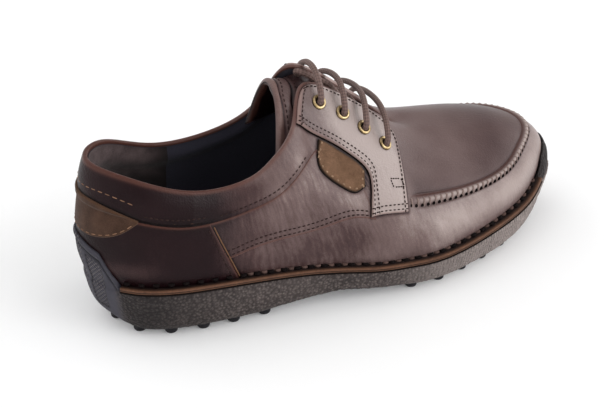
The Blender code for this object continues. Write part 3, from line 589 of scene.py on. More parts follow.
def stitch_places(line, lift, pitch, length, trim=(0.0, 0.0)):
    """Start, end and outward direction of the stitches of one row along a line of ribs and shares."""
    line = np.asarray(line, float)
    points = surface(line[:, 0], line[:, 1], lift)
    normals = last_normal(line[:, 0], line[:, 1])
    travelled = travel(points)
    starts = np.arange(trim[0], travelled[-1] - trim[1] - length, pitch)
    ends, middles = starts + length, starts + length / 2.0
    return (
        read_line(starts, travelled, points), read_line(ends, travelled, points),
        read_line(middles, travelled, normals))


def stitch_shape(rows, radius):
    """Rounded threads that dip into the leather at both ends, joined into one mesh."""
    starts = np.concatenate([row[0] for row in rows])
    ends = np.concatenate([row[1] for row in rows])
    normals = np.concatenate([row[2] for row in rows])
    axis = ends - starts
    side = unit(np.cross(normals, axis))
    normals = unit(np.cross(axis, side))
    middle = (starts + ends)[:, None, :] / 2.0 + STITCH_STATIONS[None, :, None] * axis[:, None, :]
    middle += (STITCH_DIP * radius)[None, :, None] * normals[:, None, :]
    girth = (radius * STITCH_GIRTH)[None, :, None, None]
    ring = ring_round(side[:, None, :], normals[:, None, :], STITCH_SIDES)
    points = middle[:, :, None, :] + girth * ring[:, None, :, :]
    stations = len(STITCH_STATIONS)
    faces = grid_faces(stations, STITCH_SIDES, close_columns=True)
    block = stations * STITCH_SIDES
    caps = np.array(STITCH_CAP)
    last_ring = caps[:, ::-1] + block - STITCH_SIDES
    one = np.concatenate([faces, caps, last_ring])
    shifts = np.arange(len(starts)) * block
    all_faces = (one[None] + shifts[:, None, None]).reshape(-1, 4)
    values = {"shade": np.repeat(RANDOM.random(len(starts)), block)}
    return points, all_faces[:, ::-1], values


def add_stitches(name, rows, radius, material):
    add_piece(name, stitch_shape(rows, radius), material, "leather")


TUBE_SIDES = 8


def tube_points(route, radius, sides):
    """Rings of points round a route, with frames that don't twist."""
    route = np.asarray(route, float)
    tangents = unit(np.gradient(route, axis=0))
    across = unit(np.cross(tangents[0], (0.0, 0.0, 1.0)))
    rings = []
    for tangent in tangents:
        across = unit(across - tangent * (across @ tangent))
        rings.append(ring_round(across, np.cross(across, tangent), sides))
    radius = np.broadcast_to(np.asarray(radius, float), (len(route), sides))
    return route[:, None, :] + np.array(rings) * radius[..., None]


def tube_faces(rings, sides, first=0):
    """Faces round a row of rings, with both ends closed."""
    last = first + (rings - 1) * sides
    body = grid_faces(rings, sides, close_columns=True) + first
    return body.tolist() + [list(range(first, first + sides)), list(range(last, last + sides))[::-1]]


def tube_shape(routes, radius):
    """Round cords along routes, joined into one mesh with closed ends."""
    points, faces = [], []
    for route in routes:
        rings = tube_points(route, radius, TUBE_SIDES)
        faces += tube_faces(len(rings), TUBE_SIDES, sum(len(part) for part in points))
        points.append(rings.reshape(-1, 3))
    return np.concatenate(points), faces


# Materials


NOISE_ROUGHNESS, NOISE_DETAIL = 0.55, 3.0


class Nodes:
    """A node tree, with a short call for what materials and the studio's light both need."""

    def __init__(self, owner):
        owner.use_nodes = True
        self.tree = owner.node_tree

    def add(self, kind, **inputs):
        node = self.tree.nodes.new("ShaderNode" + kind)
        for name, value in inputs.items():
            self.put(node.inputs[name], value)
        return node

    def put(self, socket, value):
        if isinstance(value, bpy.types.NodeSocket):
            self.tree.links.new(value, socket)
        else:
            socket.default_value = value

    def math(self, operation, first, second=0.0):
        node = self.add("Math")
        node.operation = operation
        self.put(node.inputs[0], first)
        self.put(node.inputs[1], second)
        return node.outputs[0]

    def times(self, first, second):
        return self.math("MULTIPLY", first, second)

    def plus(self, first, second):
        return self.math("ADD", first, second)


class Shader(Nodes):
    """A material's node tree."""

    def __init__(self, name, roughness, **constants):
        self.material = bpy.data.materials.new(name)
        super().__init__(self.material)
        self.surface = self.tree.nodes["Principled BSDF"]
        self.surface.inputs["Roughness"].default_value = roughness
        for socket, value in constants.items():
            self.surface.inputs[socket.replace("_", " ")].default_value = value
        self.place = self.add("TexCoord").outputs["Object"]

    def value(self, name):
        node = self.add("Attribute")
        node.attribute_name = name
        return node.outputs["Fac"]

    def noise(self, scale, detail=NOISE_DETAIL, vector=None, roughness=NOISE_ROUGHNESS):
        place = vector or self.place
        node = self.add("TexNoise", Vector=place, Scale=scale, Detail=detail, Roughness=roughness)
        return node.outputs["Fac"]

    def cells(self, scale, feature="F1", vector=None):
        node = self.add("TexVoronoi", Vector=vector or self.place, Scale=scale)
        node.feature = feature
        return node.outputs["Distance"]

    def mix_colours(self, share, first, second):
        return self.add("MixRGB", Fac=share, Color1=first, Color2=second).outputs["Color"]

    def ramp(self, share, places, *colours):
        """Colours that follow a share, each at its own place."""
        node = self.add("ValToRGB", Fac=share)
        elements = node.color_ramp.elements
        while len(elements) < len(colours):
            elements.new(0.5)
        for element, place, colour in zip(elements, places, colours):
            element.position = place
            element.color = (*colour, 1.0)
        return node.outputs["Color"]

    def span(self, share, low, high):
        """A number mapped from 0..1 to low..high."""
        return self.plus(self.times(share, high - low), low)

    def blend(self, first, first_amount, second, second_amount):
        """A weighted sum of two numbers."""
        return self.plus(self.times(first, first_amount), self.times(second, second_amount))

    def swing(self, share, amount):
        """A number mapped from 0..1 to as much below as above zero."""
        return self.span(share, -amount, amount)

    def tint(self, share, colour, other):
        """A colour that turns into another one where a share grows."""
        return self.mix_colours(share, colour, (*other, 1.0))

    def waves(self, place, pitch):
        """A wave from -1 to 1 along a place, in the place's own unit."""
        return self.math("SINE", self.times(place, 2.0 * math.pi / pitch))

    def vector(self, x, y, z=0.0):
        return self.add("CombineXYZ", X=x, Y=y, Z=z).outputs["Vector"]

    def bump(self, height, depth, strength=1.0):
        node = self.add("Bump", Height=height, Strength=strength, Distance=depth * MM)
        if self.surface.inputs["Normal"].is_linked:
            self.put(node.inputs["Normal"], self.surface.inputs["Normal"].links[0].from_socket)
        self.put(self.surface.inputs["Normal"], node.outputs["Normal"])

    def finish(self, colour, roughness=None):
        self.put(self.surface.inputs["Base Color"], colour)
        if roughness is not None:
            self.put(self.surface.inputs["Roughness"], roughness)
        return self.material


LEATHER_STOPS = (0.0, 0.25, 0.5, 0.75, 1.0)
LEATHER_COLOURS = (
    (0.0040, 0.0010, 0.0014), (0.0125, 0.0040, 0.0052), (0.063, 0.034, 0.033),
    (0.155, 0.105, 0.099), (0.360, 0.290, 0.270))
EDGE_COLOUR = (0.115, 0.047, 0.035)
EDGE_WIDTH = 1.0
# The leather's textures: scales for a metre, then for a millimetre along and up, and how far they wander
WANDER_SCALE, CLOUD_SCALE, GRAIN_SCALE, PORE_SCALE = 60.0, 26.0, 1100.0, 1900.0
STREAK_ALONG, STREAK_WANDER, STREAK_UP, STREAK_ROUGHNESS = 0.42, 2.4, 0.075, 0.45
PEBBLE_ALONG, PEBBLE_WANDER, PEBBLE_UP, PEBBLE_FOLD = 0.55, 2.2, 0.33, 0.4
LEATHER_DETAIL = 2.0
# How far each texture moves the tone and the roughness, and how far the edge colour shows
STREAK_TONE, PEBBLE_TONE, CLOUD_TONE, PORE_TONE = 0.20, -0.06, 0.20, 0.10
EDGE_SHARE, CLOUD_GLOSS, PORE_GLOSS = 0.75, (0.26, 0.48), 0.06
# Depth in millimetres and strength of the bumps
FOLD_BUMP, GRAIN_BUMP, PORE_BUMP = (1.0, 0.2), (0.18, 0.8), (0.08, 0.7)
LEATHER_ROUGHNESS, LEATHER_COAT_ROUGHNESS = 0.4, 0.3


def leather_material(name, specular, gloss, edge_colour=EDGE_COLOUR):
    """Burnished leather: tone from its place on the shoe, wavy creases up the ribs, pores and fine grain."""
    shader = Shader(
        name, LEATHER_ROUGHNESS, Specular_IOR_Level=specular, Coat_Weight=gloss,
        Coat_Roughness=LEATHER_COAT_ROUGHNESS)
    rib, rise, wrinkle = (shader.value(part) for part in ("rib", "rise", "wrinkle"))
    wander = shader.noise(WANDER_SCALE, LEATHER_DETAIL)
    streak_along = shader.blend(rib, STREAK_ALONG, wander, STREAK_WANDER)
    streak_place = shader.vector(streak_along, shader.times(rise, STREAK_UP))
    pebble_along = shader.blend(rib, PEBBLE_ALONG, wander, PEBBLE_WANDER)
    pebble_place = shader.vector(pebble_along, shader.times(rise, PEBBLE_UP))
    streak = shader.noise(1.0, LEATHER_DETAIL, streak_place, STREAK_ROUGHNESS)
    pebble = shader.cells(1.0, "SMOOTH_F1", pebble_place)
    cloud = shader.noise(CLOUD_SCALE, LEATHER_DETAIL)
    grain = shader.cells(GRAIN_SCALE, "SMOOTH_F1")
    pores = shader.noise(PORE_SCALE, LEATHER_DETAIL)
    folds = shader.times(shader.blend(streak, 1.0, pebble, PEBBLE_FOLD), wrinkle)
    swing = shader.plus(shader.swing(streak, STREAK_TONE), shader.swing(pebble, PEBBLE_TONE))
    # The tone value brings the leather's burnish with painted light and shade; streaks, creases, clouds and
    # pores then vary it
    tone = shader.plus(shader.value("tone"), shader.times(swing, wrinkle))
    tone = shader.plus(tone, shader.swing(cloud, CLOUD_TONE))
    tone = shader.plus(tone, shader.swing(pores, PORE_TONE))
    edge = shader.times(shader.value("edge"), EDGE_SHARE)
    colour = shader.tint(edge, shader.ramp(tone, LEATHER_STOPS, *LEATHER_COLOURS), edge_colour)
    rough = shader.plus(shader.span(cloud, *CLOUD_GLOSS), shader.swing(pores, PORE_GLOSS))
    shader.bump(folds, *FOLD_BUMP)
    shader.bump(grain, *GRAIN_BUMP)
    shader.bump(pores, *PORE_BUMP)
    return shader.finish(colour, rough)


# Fibres: a noise's scale and detail or a value's name, its share in the colour, its bump's depth and strength
NAP, PILE_CLOUD = ((2600.0, 3.0), 0.55, (0.25, 0.7)), ((140.0, 4.0), 0.5, (0.4, 0.4))
TWIST, SHADE = ((2500.0, 2.0), 0.6, (0.12, 0.8)), ("shade", 0.5, None)
WELT_FIBRE, WELT_CLOUD = ((700.0, 4.0), 0.5, (0.2, 0.7)), ((120.0, 3.0), 0.5, None)
BRAID, LACE_FIBRE = ("braid", 0.55, (0.2, 0.6)), ((1700.0, 3.0), 0.5, (0.1, 0.6))
PILE_STOPS, PILE_EDGE_SHARE = (0.32, 0.73), 0.9
THREAD_STOPS, THREAD_DARK = (0.15, 0.85), 0.55
WELT_STOPS, WELT_COLOURS = (0.2, 0.8), ((0.050, 0.022, 0.013), (0.175, 0.082, 0.045))
# Near-black that paints the shade in the welt's groove, under it and on the inner half of its top
WELT_SHADE = (0.012, 0.006, 0.005)
LACE_STOPS, LACE_COLOURS = (0.15, 0.85), ((0.045, 0.025, 0.021), (0.215, 0.138, 0.121))


def fibre_material(name, textures, stops, colours, edge=None, **constants):
    """Textures that together choose the colour and raise the surface, with another colour at an edge."""
    shader = Shader(name, **constants)
    total = 0.0
    for source, share, bump in textures:
        texture = shader.value(source) if isinstance(source, str) else shader.noise(*source)
        total = shader.plus(shader.times(texture, share), total)
        if bump:
            shader.bump(texture, *bump)
    colour = shader.ramp(total, stops, *colours)
    if edge:
        edge_share, edge_colour = edge
        colour = shader.tint(shader.times(shader.value("edge"), edge_share), colour, edge_colour)
    return shader.finish(colour)


def nubuck_material(name, low, high, edge_colour):
    """Napped leather with a brushed, cloudy pile."""
    return fibre_material(
        name, (NAP, PILE_CLOUD), PILE_STOPS, (low, high), (PILE_EDGE_SHARE, edge_colour),
        roughness=0.95, Sheen_Weight=0.1, Sheen_Roughness=0.5, Specular_IOR_Level=0.1)


def thread_material(name, colour):
    dark = tuple(THREAD_DARK * part for part in colour)
    return fibre_material(
        name, (TWIST, SHADE), THREAD_STOPS, (dark, colour), roughness=0.8, Specular_IOR_Level=0.1)


def welt_material():
    return fibre_material(
        "welt_edge", (WELT_FIBRE, WELT_CLOUD), WELT_STOPS, WELT_COLOURS, (1.0, WELT_SHADE),
        roughness=0.6, Specular_IOR_Level=0.2)


def lace_material():
    """Waxed round cord with a fine braid."""
    return fibre_material(
        "lace_cord", (BRAID, LACE_FIBRE), LACE_STOPS, LACE_COLOURS,
        roughness=0.62, Sheen_Weight=0.05, Specular_IOR_Level=0.25)


WEAVE_PITCH, WEAVE_SPAN, WEAVE_SHARE, WEAVE_BUMP = 0.9, (0.5, 1.0), 0.6, (0.12, 0.7)
CLOTH_FIBRE_SCALE, CLOTH_FIBRE_BUMP, CLOTH_STOPS = 1800.0, (0.08, 0.5), (0.2, 0.9)


def cloth_material(name, low, high):
    """Tight plain weave."""
    shader = Shader(name, roughness=0.85, Sheen_Weight=0.08, Specular_IOR_Level=0.2)
    warp = shader.waves(shader.value("rib"), WEAVE_PITCH)
    weft = shader.waves(shader.value("rise"), WEAVE_PITCH)
    weave = shader.span(shader.times(warp, weft), *WEAVE_SPAN)
    fibre = shader.noise(CLOTH_FIBRE_SCALE, detail=2.0)
    share = shader.times(shader.plus(weave, fibre), WEAVE_SHARE)
    shader.bump(weave, *WEAVE_BUMP)
    shader.bump(fibre, *CLOTH_FIBRE_BUMP)
    return shader.finish(shader.ramp(share, CLOTH_STOPS, low, high))


RIB_PITCH, DOT_PITCH = 2.1, 2.5
CREPE_SCALE, CRUMB_SCALE, RUBBER_CLOUD_SCALE = 600.0, 640.0, 70.0
CREPE_BASE = ((0.037, 0.029, 0.028), (0.060, 0.047, 0.045))
SMOOTH_BASE = ((0.036, 0.034, 0.045), (0.056, 0.053, 0.066))
RUBBER_STOPS, CROWN_STOPS, SPECK_SPAN = (0.3, 0.7), (0.08, 0.62), (0.1, 1.5)
SPECK_SHARE, SPECK_COLOUR = 0.85, (0.190, 0.156, 0.144)
# The ribbed toe's paler rubber, painted light; then how strongly the ribs and dots darken the colour, and
# towards what
TOE_RUBBER, RELIEF_SHARE, RELIEF_DARK = (0.390, 0.326, 0.302), 0.8, (0.15, 0.13, 0.13)
# The near-black that paints shade in the sole's grooves and at its heel and darkens its toe wrap and studs,
# then the roughness span
GROOVE_COLOUR, RUBBER_GLOSS = (0.006, 0.005, 0.006), (0.6, 0.85)
CREPE_BUMP, CRUMB_BUMP, RELIEF_BUMP = (1.1, 0.9), (0.5, 0.7), (0.5, 1.0)


def rubber_material():
    """Crepe rubber: coarse grain with pale specks, smooth and dotted at the heel, ribbed at the toe."""
    shader = Shader("sole_rubber", roughness=0.72, Specular_IOR_Level=0.22)
    along, rise, coarse = (shader.value(part) for part in ("along", "rise", "crepe"))
    grain = shader.cells(CREPE_SCALE)
    crumb = shader.noise(CRUMB_SCALE)
    cloud = shader.noise(RUBBER_CLOUD_SCALE)
    dots = shader.times(shader.waves(along, DOT_PITCH), shader.waves(rise, DOT_PITCH))
    dots = shader.times(dots, shader.value("dots"))
    ribs = shader.times(shader.waves(along, RIB_PITCH), shader.value("ribbed"))
    relief = shader.plus(ribs, dots)
    crown = shader.ramp(grain, CROWN_STOPS, (1, 1, 1), (0, 0, 0))
    speck = shader.times(crown, shader.span(crumb, *SPECK_SPAN))
    speck = shader.times(shader.times(speck, coarse), SPECK_SHARE)
    base = shader.ramp(cloud, RUBBER_STOPS, *CREPE_BASE)
    smooth_base = shader.ramp(cloud, RUBBER_STOPS, *SMOOTH_BASE)
    colour = shader.mix_colours(coarse, smooth_base, base)
    colour = shader.tint(speck, colour, SPECK_COLOUR)
    # The ribbed toe is painted paler, as painted light
    colour = shader.tint(shader.value("ribbed"), colour, TOE_RUBBER)
    colour = shader.tint(shader.times(relief, RELIEF_SHARE), colour, RELIEF_DARK)
    # Painted shade in the grooves and at the heel, and the darker toe wrap and studs
    colour = shader.tint(shader.value("groove"), colour, GROOVE_COLOUR)
    shader.bump(shader.times(grain, coarse), *CREPE_BUMP)
    shader.bump(shader.times(crumb, coarse), *CRUMB_BUMP)
    shader.bump(relief, *RELIEF_BUMP)
    return shader.finish(colour, shader.span(crumb, *RUBBER_GLOSS))


TARNISH_SCALE, SCRATCH_SCALE, SCRATCH_BUMP = 420.0, 1600.0, (0.03, 0.5)
BRASS_STOPS = (0.1, 0.4, 0.75)
BRASS_COLOURS = ((0.04, 0.022, 0.01), (0.40, 0.29, 0.145), (0.66, 0.53, 0.32))
BRASS_EDGE_SHARE, BRASS_GLOSS = 0.35, (0.5, 0.25)


def brass_material():
    shader = Shader("antique_brass", roughness=0.35, Metallic=1.0)
    tarnish = shader.noise(TARNISH_SCALE, detail=4.0)
    scratch = shader.noise(SCRATCH_SCALE, detail=2.0)
    edge = shader.times(shader.value("edge"), BRASS_EDGE_SHARE)
    colour = shader.ramp(shader.math("SUBTRACT", tarnish, edge), BRASS_STOPS, *BRASS_COLOURS)
    shader.bump(scratch, *SCRATCH_BUMP)
    return shader.finish(colour, shader.span(tarnish, *BRASS_GLOSS))


FLOOR_CLOUD_SCALE, FLOOR_GRAIN_SCALE, FLOOR_BUMP = 3.0, 900.0, (0.02, 0.2)
FLOOR_STOPS, FLOOR_COLOURS = (0.3, 0.7), ((0.895, 0.895, 0.90), (0.91, 0.91, 0.91))
FLOOR_GLOW = 0.1


def floor_material():
    shader = Shader("pale_floor", roughness=0.55, Specular_IOR_Level=0.2, Emission_Strength=FLOOR_GLOW)
    cloud = shader.noise(FLOOR_CLOUD_SCALE, detail=2.0)
    shader.bump(shader.noise(FLOOR_GRAIN_SCALE, detail=2.0), *FLOOR_BUMP)
    return shader.finish(shader.ramp(cloud, FLOOR_STOPS, *FLOOR_COLOURS))


# The leather's tone, partly its own burnish and partly painted light and shade: darker at the heel, at the
# sole and beside seams, lighter in the middle of panels

TONE_AND_LIGHT_TABLE = {
    0.0: 0.21, 1.0: 0.18, 2.3: 0.23, 2.6: 0.38, 3.0: 0.57, 3.6: 0.67, 4.5: 0.71, 6.0: 0.72, 7.2: 0.72,
    8.0: 0.76, 9.0: 0.79, 11.0: 0.79}
# Painted highlights and painted shade, with some of the leather's own burnish: rib and share of the middle,
# reach along and up, and the change of tone
LIGHT_AND_BURNISH_PATCHES = (
    (3.9, 0.73, 0.28, 0.06, 0.15), (5.9, 0.40, 0.45, 0.09, 0.15), (7.94, 0.27, 0.30, 0.12, 0.08),
    (9.2, 0.22, 0.90, 0.12, 0.13), (8.6, 0.38, 0.35, 0.08, 0.03), (7.2, 0.34, 0.35, 0.14, 0.10),
    (7.05, 0.12, 0.50, 0.10, -0.06), (3.0, 0.45, 0.40, 0.20, -0.06), (0.95, 0.17, 0.60, 0.10, 0.22),
    (7.9, 0.62, 0.70, 0.14, 0.12), (4.9, 0.21, 1.60, 0.14, -0.23), (4.7, 0.48, 0.40, 0.13, -0.14),
    (3.1, 0.86, 0.50, 0.10, -0.17), (4.7, 0.82, 0.25, 0.08, 0.15), (3.85, 0.12, 0.70, 0.10, -0.08))
# Painted light on the apron: shade on the plug, eased as its share rises towards the rear, and the
# millimetres past the seam over which the plug begins; a highlight on the ridge's top and shade at its feet,
# with their places and widths; a highlight in the middle of the side wall, placed as a share of the height
# below the seam
PLUG_SHADE, PLUG_SHADE_EASING, PLUG_REAR, PLUG_EDGE = -0.22, 0.16, (0.55, 0.4), 4.0
RIDGE_LIGHT_AND_SHADE, RIDGE_TOP_WIDTH, RIDGE_FOOT, RIDGE_FOOT_WIDTH = 0.20, 1.6, 3.6, 1.1
WALL_HIGHLIGHT, WALL_MIDDLE, WALL_WIDTH = 0.10, 0.58, 0.25
# Painted shade, partly also the leather's burnish, darker along the sole; painted shadow just below the
# collar band's step: amount and width in millimetres of each
SOLE_SHADE, SOLE_SHADE_WIDTH = 0.09, 7.0
BAND_SHADE, BAND_SHADE_WIDTH = 0.12, 3.0
# Painted highlight on the eyestays' lower middle and painted shade at their rear, by rib from the heel
EYESTAY_LIGHT_AND_SHADE = {5.0: -0.12, 5.8: -0.03, 6.4: 0.35, 7.0: 0.28, 7.9: 0.18}
WRINKLE_TABLE = {0.0: 0.10, 2.2: 0.15, 2.8: 0.75, 5.2: 0.9, 6.2: 0.5, 7.5: 0.4, 9.5: 0.2, 11.0: 0.15}
# The main creases: rib and share at the lower and at the upper end, then depth and width in millimetres
CREASES = (
    (3.00, 0.40, 3.06, 0.60, 0.30, 1.3), (3.24, 0.39, 3.26, 0.62, 0.38, 1.5),
    (3.50, 0.42, 3.47, 0.64, 0.34, 1.3), (3.76, 0.40, 3.72, 0.66, 0.42, 1.6),
    (4.05, 0.41, 3.98, 0.66, 0.36, 1.5), (4.36, 0.40, 4.26, 0.62, 0.30, 1.4),
    (4.70, 0.39, 4.60, 0.58, 0.28, 1.4), (5.05, 0.38, 5.00, 0.50, 0.24, 1.3),
    (7.75, 0.06, 7.55, 0.33, 0.45, 2.6), (8.05, 0.06, 7.90, 0.34, 0.36, 2.4),
    (8.40, 0.08, 8.30, 0.32, 0.26, 2.2))
RIB_SPACING, CREASE_FADE, CREASE_RIDGE, FULL_CREASE_RIB = 26.0, 0.3, 0.5, 40.0
CREASE_WANDER, WANDER_UP, WANDER_ALONG = 0.03, 9.0, 5.0
BAND_CALM = 0.45


def table_value(table, rib):
    return read_table(table, ribs_from_heel(rib))


def tone(rib, share):
    """How light the leather is, from 0 to 1, before the material's own streaks and clouds: its burnish
    together with painted highlights and painted shade.
    """
    seam = last_value("seam", rib)
    from_heel = ribs_from_heel(rib)
    near_sole = hump(share * rib_length(rib), 0.0, SOLE_SHADE_WIDTH)
    gap = (share - seam) * rib_length(rib)
    band_shadow = collar_amount(rib) * hump(gap, 0.0, BAND_SHADE_WIDTH)
    # Painted highlight on the apron ridge's top and the side wall's middle, painted shade at the ridge's feet
    # and on the plug
    ridge = hump(gap, 0.0, RIDGE_TOP_WIDTH) - hump(np.abs(gap), RIDGE_FOOT, RIDGE_FOOT_WIDTH)
    wall = hump(share / seam, WALL_MIDDLE, WALL_WIDTH)
    plug_shade = PLUG_SHADE + PLUG_SHADE_EASING * rises(share, *PLUG_REAR)
    plug = plug_shade * smooth_step(gap / PLUG_EDGE)
    change = apron_amount(rib) * (RIDGE_LIGHT_AND_SHADE * ridge + WALL_HIGHLIGHT * wall + plug)
    # Patches of painted highlight and painted shade, partly burnish
    for patch_rib, patch_share, reach_along, reach_up, amount in LIGHT_AND_BURNISH_PATCHES:
        away = ((from_heel - patch_rib) / reach_along) ** 2 + ((share - patch_share) / reach_up) ** 2
        change = change + amount * np.exp(-away)
    return table_value(TONE_AND_LIGHT_TABLE, rib) + change - SOLE_SHADE * near_sole - BAND_SHADE * band_shadow


def wrinkling(rib, share):
    """How strongly the leather is creased: less on the collar band, and hardly on the plug."""
    gap = (share - last_value("seam", rib)) * rib_length(rib)
    above = smooth_step(gap / PLUG_EDGE)
    return table_value(WRINKLE_TABLE, rib) * (1.0 - above * (BAND_CALM + BAND_CALM * apron_amount(rib)))


def creasing(rib, share):
    """Soft troughs and ridges of the main creases, in millimetres, even on both sides of the shoe."""
    from_heel = ribs_from_heel(rib)
    strength = np.minimum(1.0, rib_length(rib) / FULL_CREASE_RIB)
    total = np.zeros(np.broadcast(rib, share).shape)
    for low_rib, low_share, high_rib, high_share, depth, width in CREASES:
        up = (share - low_share) / (high_share - low_share)
        wander = CREASE_WANDER * np.sin(WANDER_UP * up + WANDER_ALONG * low_rib)
        gap = (from_heel - (low_rib + (high_rib - low_rib) * up) - wander) * RIB_SPACING
        fade = smooth_step(up / CREASE_FADE) * smooth_step((1.0 - up) / CREASE_FADE)
        inside = hump(gap, 0.0, width) - CREASE_RIDGE * hump(np.abs(gap), 2.0 * width, width)
        total -= depth * fade * inside * strength
    return total


# The pieces


UPPER_STATIONS, BELOW_SEAM, AT_SEAM, ABOVE_SEAM, AT_RIM = 640, 40, 23, 48, 9
LOWER_STEPS = np.linspace(0.0, 1.0, BELOW_SEAM, endpoint=False)
SEAM_STEPS = np.linspace(-1.0, 1.0, AT_SEAM)
UPPER_STEPS = np.linspace(0.0, 1.0, ABOVE_SEAM)[1:]
RIM_ANGLES = np.linspace(0.0, math.pi, AT_RIM)[1:-1]
SEAM_REACH, BELOW_RIM, RIM_ROUND = 5.0, 0.98, 1.1
INNER_LIP, LIP_SHADE = (1.0, 0.99, 0.975), 0.5
# Grooves beside the apron ridge: depth, then middle and width of each across the ridge
RIDGE_GROOVES = ((0.7, 3.4, 0.7), (0.45, -3.4, 0.9))
# How far the leather's edge shows at the rim and at the plug's edge, and where
RIM_PALE, RIM_PALE_WIDTH = 0.8, 1.2
PLUG_PALE, PLUG_PALE_PLACE = 0.7, (3.0, 0.9)
GLOSS_SPANS = {
    "upper_heel_leather": (0.0, 2.05), "upper_waist_leather": (2.05, 3.05), "upper_leather": (3.05, TOE_RIB)}


def make_upper(looks, lines):
    """The upper's outer leather, turned over the rim, in pieces whose gloss grows from heel to toe."""
    ribs = station_ribs(UPPER_STATIONS)
    seam = last_value("seam", ribs)[:, None]
    reach = SEAM_REACH / rib_length(ribs)[:, None]
    shares = np.concatenate([
        (seam - reach) * LOWER_STEPS, seam + reach * SEAM_STEPS,
        seam + reach + (1.0 - seam - reach) * UPPER_STEPS], 1)
    rib_grid = np.broadcast_to(ribs[:, None], shares.shape)
    distance = (shares - seam) * rib_length(rib_grid)
    apron = apron_amount(rib_grid)
    lift = creasing(rib_grid, shares)
    for depth, middle, width in RIDGE_GROOVES:
        lift -= apron * depth * hump(distance, middle, width)
    outer = surface(rib_grid, shares, lift)
    inner_edge = inner_surface(ribs, np.ones_like(ribs))
    rise = rib_point(ribs, np.ones_like(ribs)) - rib_point(ribs, np.full_like(ribs, BELOW_RIM))
    rise = unit(rise) * RIM_ROUND
    middle = (outer[:, -1] + inner_edge) / 2.0
    half = outer[:, -1] - middle
    rim = [middle + half * math.cos(angle) + rise * math.sin(angle) for angle in RIM_ANGLES]
    lip = [inner_surface(ribs, np.full_like(ribs, share)) for share in INNER_LIP]
    turned = np.stack(rim + lip, 1)
    points = np.concatenate([outer, turned], 1)
    turned_shares = np.ones(turned.shape[:2])
    all_ribs = np.broadcast_to(ribs[:, None], points.shape[:2])
    all_shares = np.concatenate([shares, turned_shares], 1)
    from_rim = (1.0 - all_shares) * rib_length(all_ribs)
    edge = RIM_PALE * hump(from_rim, 0.0, RIM_PALE_WIDTH)
    gap = (all_shares - seam) * rib_length(all_ribs)
    edge += PLUG_PALE * apron_amount(all_ribs) * hump(gap, *PLUG_PALE_PLACE)
    inside = np.zeros(points.shape[:2])
    inside[:, -len(lip):] = LIP_SHADE
    # Painted shade beside the overlays' seams and on the lip turned inside the rim
    values = panel_values(all_ribs, all_shares, edge, -SEAM_SHADE * near_lines(points, lines) - inside)
    faces = cut_eyelets(points, grid_faces(*points.shape[:2], close_rows=True))
    farthest = ribs_from_heel(all_ribs).ravel()[faces].max(1)
    for (name, (low, high)), look in zip(GLOSS_SPANS.items(), looks):
        chosen = (farthest > low) & (farthest <= high)
        used, kept = np.unique(faces[chosen], return_inverse=True)
        kept_values = {key: np.ravel(numbers)[used] for key, numbers in values.items()}
        shape = (points.reshape(-1, 3)[used], kept.reshape(-1, 4), kept_values)
        add_piece(name, shape, look, "leather", "upper")


LINING_STATIONS, HEEL_LINING_STATIONS, LINING_TOP, LINING_ROWS = 360, 120, 0.985, 70
LINING_SHARES = np.linspace(LINING_TOP, 0.0, LINING_ROWS)
LINING_CLEARANCE, HEEL_LINING_CLEARANCE = 0.05, 0.5
# How far round the suede heel lining reaches in ribs, how it fades into the cloth at its ends, and where
# painted shade darkens it deeper inside the shoe
HEEL_LINING, HEEL_LINING_FADE, HEEL_LINING_SHADE = 2.25, 0.5, (0.80, 0.35)


def make_lining(name, ribs, clearance, material):
    rib_grid, shares = np.meshgrid(ribs, LINING_SHARES, indexing="ij")
    closed = np.ptp(ribs) > RIBS / 2
    points = inner_surface(rib_grid, shares, clearance)
    ends = rises(np.abs(rib_grid), HEEL_LINING - HEEL_LINING_FADE, HEEL_LINING_FADE)
    values = {
        "rib": feather_travel(rib_grid), "rise": shares * rib_length(rib_grid),
        # Darker at the heel lining's ends where it meets the cloth, and painted shade deeper inside the shoe
        "edge": np.maximum(ends, falls(shares, *HEEL_LINING_SHADE))}
    faces = cut_eyelets(points, grid_faces(*points.shape[:2], close_rows=closed))
    add_piece(name, (points, faces, values), material, "lining", "upper")


INSOLE_ROWS, INSOLE_COLUMNS, INSOLE_END, INSOLE_ROUND = 150, 36, 0.03, 1.6


def make_insole(material):
    """The footbed: a crowned slab between the two feather lines."""
    lateral = np.linspace(INSOLE_END, TOE_RIB - INSOLE_END, INSOLE_ROWS)
    medial = RIBS - lateral
    across = edge_spread(INSOLE_COLUMNS, OVERLAY_CROWD)
    ends = []
    for ribs in (lateral, medial):
        ends.append(feather_ring(ribs, -INSOLE_INSET, feather_top(ribs)))
    base = ends[1][:, None, :] + (ends[0] - ends[1])[:, None, :] * across[None, :, None]
    top = base.copy()
    crown = INSOLE_CROWN * np.sin(math.pi * across)
    top[..., 2] += rounded_lift(base, INSOLE_HEIGHT, INSOLE_ROUND) + crown
    base[..., 2] += SEAT_GAP
    points, faces = pad(top, base)
    values = {"rib": points[:, 0], "rise": points[:, 1]}
    add_piece("footbed", (points, faces, values), material, "lining", "insole")


TONGUE_GRID = (150, 110)
BINDING_WIDTH, ROLL_WIDTH, TONGUE_EDGE_ROUND = 4.3, 13.0, 1.6
BINDING_HEIGHT, ROLL_HEIGHT, PANEL_HEIGHT, PANEL_START = 0.9, 0.9, 0.5, (0.6, 0.8)
ROLL_GROOVE_WIDTH, BINDING_GROOVE_WIDTH, TONGUE_GROOVE_DEPTH, INNER_PADDING = 0.8, 0.5, 0.6, 0.6
